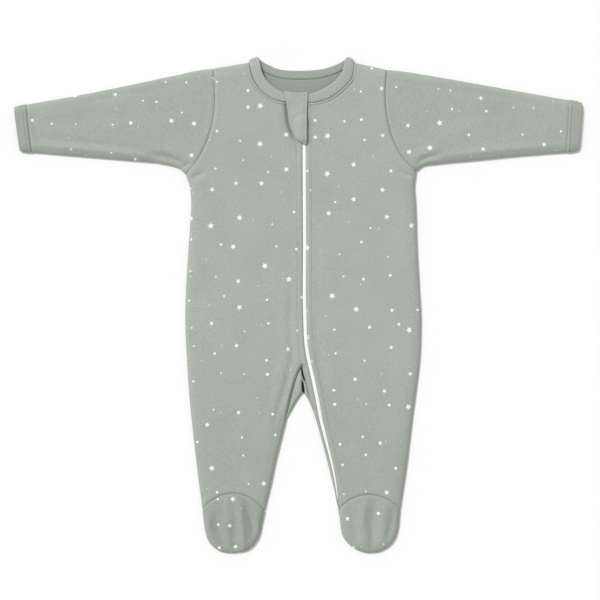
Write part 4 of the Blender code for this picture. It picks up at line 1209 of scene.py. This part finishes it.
def make_sleeve(side):
    top, under = tube_edges(SLEEVES[side])
    armhole = ARMHOLE[side] + np.array([SIGN[side] * SEAM, 0.0])
    chord = armhole[-1] - armhole[0]
    wrist = np.array([top[-1], under[-1]])

    def lift(x, y):
        seams = sewn(x, y, ARMHOLE[side], 0.8, 2) + sewn(x, y, wrist, 0.7, 3)
        return creases(x, y, SLEEVE_CREASES) + unevenness(x, y) + seams

    rings = []
    for t in evenly(count_for(top, FINE * 1.15)):
        a, b = (armhole[0], armhole[-1]) if t == 0 else (walk(top, [t])[0], walk(under, [t])[0])
        bend = (1.0 - t) ** 3

        def plan(shares, a=a, b=b, bend=bend):
            off_chord = walk(armhole, shares) - armhole[0] - chord * shares[:, None]
            return a + (b - a) * shares[:, None] + bend * off_chord

        rings.append(tube_ring(plan, np.hypot(*(b - a)), SLEEVE_HEIGHT, 0.0, SLEEVE_POINTS, lift))
    # The sleeve's cloth carries a slight painted shade.
    cloth = printed_jersey("sleeve_" + side, radians(SLEEVE_TURN[side]), SLEEVE_PAINTED_SHADE)
    make_tube("sleeve", side, rings, cloth)


def make_cuff(side):
    top, under = tube_edges(CUFFS[side])
    seam = np.vstack([top[:1], under[:1]])
    # Along the outside to the edge, round it, and back inside
    steps = [(-CUFF_TUCK, 1.2), (0.0, 0.5), (0.02, 0.12)] + [(t, 0.0) for t in np.linspace(0.05, 0.93, 20)]
    steps += [(0.985, 0.25), (1.0, 0.9), (0.985, 1.6)]
    steps += [(t, BAND) for t in np.linspace(0.93, 0.05, 8)]

    def lift(x, y):
        stitched = folds_at(nearest(x, y, seam)[0], CUFF_FOLDS)
        return 0.12 * noise(x, y, 9.0, 12) + sewn(x, y, seam, 0.6, 7) + stitched

    rings = []
    for t, inset in steps:
        into_sleeve = min(t, 0.0) * (top[-1] - top[0])
        a, b = (walk(edge, [max(t, 0.0)])[0] + into_sleeve for edge in (top, under))

        def plan(shares, a=a, b=b):
            return a + (b - a) * shares[:, None]

        rings.append(tube_ring(plan, np.hypot(*(b - a)), CUFF_HEIGHT, inset, CUFF_POINTS, lift))
    cloth = jersey("jersey_cuff_" + side, False, radians(CUFF_TURN), share=CUFF_SHADE)
    make_tube("cuff", side, rings, cloth)


# Neck binding


def band_ring(seam, edge, normal, push=(0.0, 0.0, 0.0), ridge=0.0, points=24):
    """A rounded section of the folded band, low at its sewn edge and full at its free one. push bows it."""
    seam, edge, normal, push = (np.asarray(v, float) for v in (seam, edge, normal, push))
    across = edge - seam
    width = np.linalg.norm(across)
    across = across / width
    angles = np.linspace(0, 2 * pi, points, endpoint=False)
    c, s = np.cos(angles), np.sin(angles)
    u = np.sign(c) * np.abs(c) ** 0.45
    v = np.sign(s) * np.abs(s) ** 0.8
    place = (u + 1.0) / 2.0 * width
    full = 0.62 + 0.38 * ease(place / 3.0) + 0.1 * bell(place - width + 1.2, 1.3)
    side = v * (0.5 * BAND * full + ridge * bell(place - 1.5, 1.1))
    bow = 1.0 - np.abs(u) ** 3
    return seam + across * place[:, None] + normal * side[:, None] + push * bow[:, None]


def neck_rows(rows, count):
    """Rows of plan x and y at the binding's sewn edge, clear of the seam, and at its free one."""
    line = walk(smooth(points_of(rows, "seam_x", "seam_y", "edge_x", "edge_y")), evenly(count - 1))
    across = line[:, 2:] - line[:, :2]
    line[:, :2] += across * BINDING_SEAM / np.hypot(*across.T)[:, None]
    return line


def section(row, z, normal, *rest, shift=(0.0, 0.0)):
    """What band_ring takes for a row of the neck at this height."""
    return ((*(row[:2] + shift), z), (*(row[2:] + shift), z), normal, *rest)


def front_sections(side):
    low = BAND / 2 + 2 * FOLD_RADIUS
    high = UPPER_TOP - CLOTH + BAND / 2 + BINDING_LIFT
    rows = neck_rows(FRONT_NECK[side], FRONT_SECTIONS)
    gaps = np.hypot(*(rows[:, :2] - rows[0, :2]).T)
    heights = low + (high - low) * rise(gaps, BINDING_CLIMB)
    return [section(row, z, (0.0, 0.0, 1.0)) for row, z in zip(rows, heights)]


def fold_sections(side):
    """The binding's fold from front to back at a shoulder."""
    row = neck_rows(FRONT_NECK[side], FRONT_SECTIONS)[0]
    along = row[2:] - row[:2]
    out = np.array([-along[1], along[0]]) / np.hypot(*along)
    out = out if out[1] > 0 else -out
    found = []
    for angle in np.linspace(0, pi, 10)[1:-1]:
        ahead = out * np.sin(angle)
        z = BAND / 2 + FOLD_RADIUS * (1 + np.cos(angle))
        bow = (*(FOLD_BOW * ahead), 0.0)
        found.append(section(row, z, (*ahead, np.cos(angle)), bow, shift=FOLD_RADIUS * ahead))
    return found


def make_binding():
    fronts = {s: front_sections(s) for s in SIDE_NAMES}
    folds = {s: fold_sections(s) for s in SIDE_NAMES}
    back_rows = neck_rows(BACK_NECK, BACK_SECTIONS)[::-1]
    back = [section(row, BAND / 2, (0.0, 0.0, -1.0), (0.0, 0.0, 0.0), BACK_RIDGE) for row in back_rows]
    sections = fronts["left"][::-1] + folds["left"] + back + folds["right"][::-1] + fronts["right"]
    rings = np.array([band_ring(*found) for found in sections])
    count = rings.shape[1]
    faces = turned_over(grid_faces(len(rings), count, closed=True))
    faces.append(tuple(range(count)))
    faces.append(tuple((len(rings) - 1) * count + k for k in reversed(range(count))))
    piece = new_piece("neck_binding_cloth", rings.reshape(-1, 3), faces, [PLAIN, BACK_BAND_SHADED])
    first = len(fronts["left"]) + len(folds["left"]) - 2
    last = first + len(back) + 3
    # The back sections take the darker binding cloth, a painted shade for the shadow inside the neck.
    for polygon in piece.data.polygons:
        polygon.material_index = int(first <= polygon.index // count < last)
    declare("neck_binding")


# Zip


def make_coil():
    """The closed coil: ribs across a low dome, half a pitch apart on its two sides, and a groove between."""
    total = lengths(ZIP_LINE)[-1]
    rows = int(total / RIB_PITCH * RIB_ROWS)
    centre = walk(ZIP_LINE, evenly(rows))
    along = evenly(rows) * total
    direction = np.gradient(centre[:, :2], axis=0)
    direction /= np.hypot(*direction.T)[:, None]
    out = np.column_stack([-direction[:, 1], direction[:, 0]])
    sunk = ZIP_SINK * ease((SINK_FROM - centre[:, 1]) / SINK_LENGTH)
    level = upper(centre[:, 0], centre[:, 1]) - COIL_DROP - sunk
    grid = []
    for share in COIL_SHARES:
        phase = along / RIB_PITCH * 2 * pi + (pi if share > 0 else 0.0)
        crown = 1.0 - abs(share) ** 3
        rib = RIB_HEIGHT * np.cos(phase) * crown * (0.3 if share == 0 else 1.0)
        dome = COIL_DOME * crown
        if share == 0:
            dome -= COIL_GROOVE
        if abs(share) == 1:
            dome -= COIL_SKIRT
        plan = centre[:, :2] + out * (centre[:, 2:] * share)
        grid.append(np.column_stack([plan, level + dome + rib]))
    grid = np.array(grid).transpose(1, 0, 2)
    faces = turned_over(grid_faces(len(grid), len(COIL_SHARES)))
    nylon = grained("zip_coil_nylon", 2.2, shade(ZIP_WHITE, 0.97), ZIP_WHITE, 0.42, 0.02, (0.3, 0.7))
    piece = new_piece("zip_coil", grid.reshape(-1, 3), faces, [nylon])
    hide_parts("zip")


def make_tape():
    """The two tapes as one strip, narrowed down the leg to stay under the cloth beside the coil."""
    heights = np.linspace(ZIP[0]["y"], TAPE_END, 250)
    centre = at_height(ZIP_LINE, heights)
    coil = at_height(ZIP_LINE, heights, 2)
    room = centre - coil - at_height(FRONT_INSEAM["left"], heights)
    room = np.where(heights > CROTCH_Y, ZIP_OVERLAP, np.clip(room - 2.5, 0.2, ZIP_OVERLAP))
    grid = []
    for share in np.linspace(-1, 1, 9):
        reach = coil + (room if share < 0 else ZIP_OVERLAP * ease((heights + 150.0) / 60.0) + 0.1)
        x = centre + share * reach
        z = upper(x, heights) - CLOTH - TAPE_DROP + np.where(x < centre, guard_hollow(x, heights), 0.0)
        grid.append(np.column_stack([x, heights, z]))
    grid = np.array(grid).transpose(1, 0, 2)
    faces = grid_faces(*grid.shape[:2])
    plan, z = np.split(grid.reshape(-1, 3), [2], axis=1)
    tape = woven_tape()
    piece = layer("zip_tape", plan, faces, z[:, 0], [tape, tape], TAPE)
    declare("zip")


def make_guard():
    """The tab over the top of the zip. It rises over the slider and turns down inside the neck."""
    line = walk(smooth(points_of(GUARD, "left_x", "y", "right_x"), 5), evenly(51))
    shares = evenly(25)
    left, right = line[:, 0, None], line[:, 2, None]
    x = left + (right - left) * shares
    y = np.repeat(line[:, 1, None], len(shares), axis=1)
    slider_low, slider_high = (corner / MM for corner in np.array(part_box("zip_slider")))
    beside = np.maximum(np.maximum(slider_low[0] - x, x - slider_high[0]), 0.0)
    beyond = np.maximum(np.maximum(slider_low[1] - y, y - slider_high[1]), 0.0)
    bump = SLIDER_BUMP * (1.0 - ease((np.hypot(beside, beyond) - 1.5) / 8.0))
    edge = np.minimum(np.minimum(x - left, right - x), (y - line[-1, 1]) * 1.2 + 0.4)
    top = UPPER_TOP + GUARD_HEIGHT + bump + folds_at(edge, GUARD_FOLDS) - 0.7 * np.exp(-edge / 0.7)
    gathers = 0.35 * bell(y - 226.0, 2.0) * noise(x, np.zeros(x.shape), 5.0, 23)
    top = top + 0.25 * noise(x, y, 7.0, 21) + gathers
    grid = np.stack([x, y, top], axis=-1)
    # Over the binding's free edge and down inside it
    free = {s: points_of(FRONT_NECK[s], "edge_x", "edge_y") for s in SIDE_NAMES}
    free = smooth(free["right"] + free["left"][::-1])
    edge_y = np.interp(x[0], free[:, 0], free[:, 1]) + LIP_CLEAR
    grid[0, :, 1] = edge_y
    turns = [(LIP_RADIUS * np.cos(a), LIP_RADIUS * (np.sin(a) - 1.0)) for a in np.linspace(pi / 2, 0, 7)[1:]]
    turns += [(LIP_RADIUS, -LIP_RADIUS - drop) for drop in LIP_DROPS]
    lip = [np.stack([x[0], edge_y + over, top[0] + up], axis=-1) for over, up in turns]
    grid = np.concatenate([np.array(lip)[::-1], grid])
    faces = grid_faces(*grid.shape[:2])
    points = grid.reshape(-1, 3)
    piece = new_piece("zip_guard_cloth", points, faces, [PLAIN])
    solid = piece.modifiers.new("layer", "SOLIDIFY")
    solid.thickness = GUARD_CLOTH * MM
    solid.offset = -1.0
    declare("zip_guard")


# Stitching


def stitch_rows(line, height, first, last):
    """Centres and directions of the stitches along a line of plan points, as far as these shares of it."""
    total = lengths(line)[-1]
    places = np.arange(first * total, last * total, STITCH_PITCH) / total
    centre = walk(line, places)
    step = 0.5 / total
    ahead = walk(line, np.minimum(places + step, 1.0)) - walk(line, np.maximum(places - step, 0.0))
    ahead = ahead[:, :2] / np.hypot(*ahead[:, :2].T)[:, None]
    z = height(centre[:, 0], centre[:, 1])
    return np.column_stack([centre[:, :2], z]), ahead


def make_stitching(rows):
    """Small rounded threads lying in the cloth, one for each stitch."""
    points = []
    faces = []
    # Along a stitch, as a share of its length, then up and its size, as shares of the thread
    profile = [(-0.5, -0.30, 0.2), (-0.36, 0.22, 0.8), (0.0, 0.42, 1.0), (0.36, 0.22, 0.8), (0.5, -0.30, 0.2)]
    angles = np.linspace(0, 2 * pi, 5, endpoint=False)
    for centres, directions in rows:
        for centre, ahead in zip(centres, directions):
            aside = np.array([-ahead[1], ahead[0]])
            faces += turned_over(grid_faces(len(profile), len(angles), len(points), closed=True))
            for along, lift, size in profile:
                for angle in angles:
                    plan = centre[:2] + ahead * along * STITCH + aside * THREAD * size * np.cos(angle)
                    points.append((*plan, centre[2] + THREAD * (lift + size * np.sin(angle))))
    dark, light = (shade(SAGE, share) for share in THREAD_SHADES)
    piece = new_piece("topstitching", points, faces, [grained("sewing_thread", 3.0, dark, light, 0.8, 0.05)])


def all_stitching():
    """Stitching beside the zip, round the front of the neck and inside its back."""
    rows = []
    for side in SIDE_NAMES:

        def height(x, y, side=side):
            return front_top(x, y, side) - STITCH_SINK

        placket = zip_edge(side, np.linspace(221.0, STITCH_ENDS[side], 200))
        rows.append(stitch_rows(offset_line(placket, SIGN[side] * PLACKET_WIDTH), height, 0.0, 1.0))
        collar = offset_line(NECK_SEAM[side], SIGN[side] * COLLAR_STITCH)
        rows.append(stitch_rows(collar, height, 0.02, 0.86))
    neck = smooth(points_of(BACK_NECK, "seam_x", "seam_y", "edge_x", "edge_y"))
    inner = neck[:, :2] + (neck[:, 2:] - neck[:, :2]) * 0.2
    rows.append(stitch_rows(inner, lambda x, y: np.full(x.shape, BAND - 0.12), 0.12, 0.88))
    make_stitching(rows)


# Build

bpy.ops.mesh.primitive_plane_add(size=FLOOR_SIZE, location=(0.0, 0.0, -FLOOR_DROP * MM))
floor = bpy.context.object
floor.name = "floor"
floor.data.materials.append(grained("white_floor", 0.02, *FLOOR_WHITES, 0.9))

make_back()
for wearer in SIDE_NAMES:
    make_front(wearer)
    make_foot(wearer)
    make_sleeve(wearer)
    make_cuff(wearer)
make_binding()
make_coil()
make_tape()
make_guard()
all_stitching()

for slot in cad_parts["zip_slider"].material_slots:
    slot.material = grained("slider_enamel", 0.8, *ENAMEL, 0.35, 0.03)

# Camera, straight above the garment
camera = bpy.data.objects.new("camera", bpy.data.cameras.new("camera"))
camera.data.lens = LENS
camera.data.sensor_width = SENSOR
camera.data.clip_end = 20.0
distance = FRAME_WIDTH * MM * LENS / SENSOR
camera.location = (CAMERA_X * MM, CAMERA_Y * MM, distance + UPPER_TOP * MM)
bpy.context.scene.collection.objects.link(camera)
bpy.context.scene.camera = camera

# Light: an even white room and one wide soft light from the upper left
world = bpy.data.worlds.new("studio")
world.use_nodes = True
world.node_tree.nodes["Background"].inputs["Color"].default_value = (1.0, 1.0, 1.0, 1.0)
world.node_tree.nodes["Background"].inputs["Strength"].default_value = ROOM_LIGHT
bpy.context.scene.world = world

key_data = bpy.data.lights.new("key", "SUN")
key_data.angle = radians(KEY_WIDTH)
key_data.energy = KEY_LIGHT
key = bpy.data.objects.new("key", key_data)
key.rotation_euler = Vector(KEY_FROM).to_track_quat("Z", "Y").to_euler()
bpy.context.scene.collection.objects.link(key)

bpy.context.scene.view_settings.view_transform = "Standard"
bpy.context.scene.view_settings.look = "None"
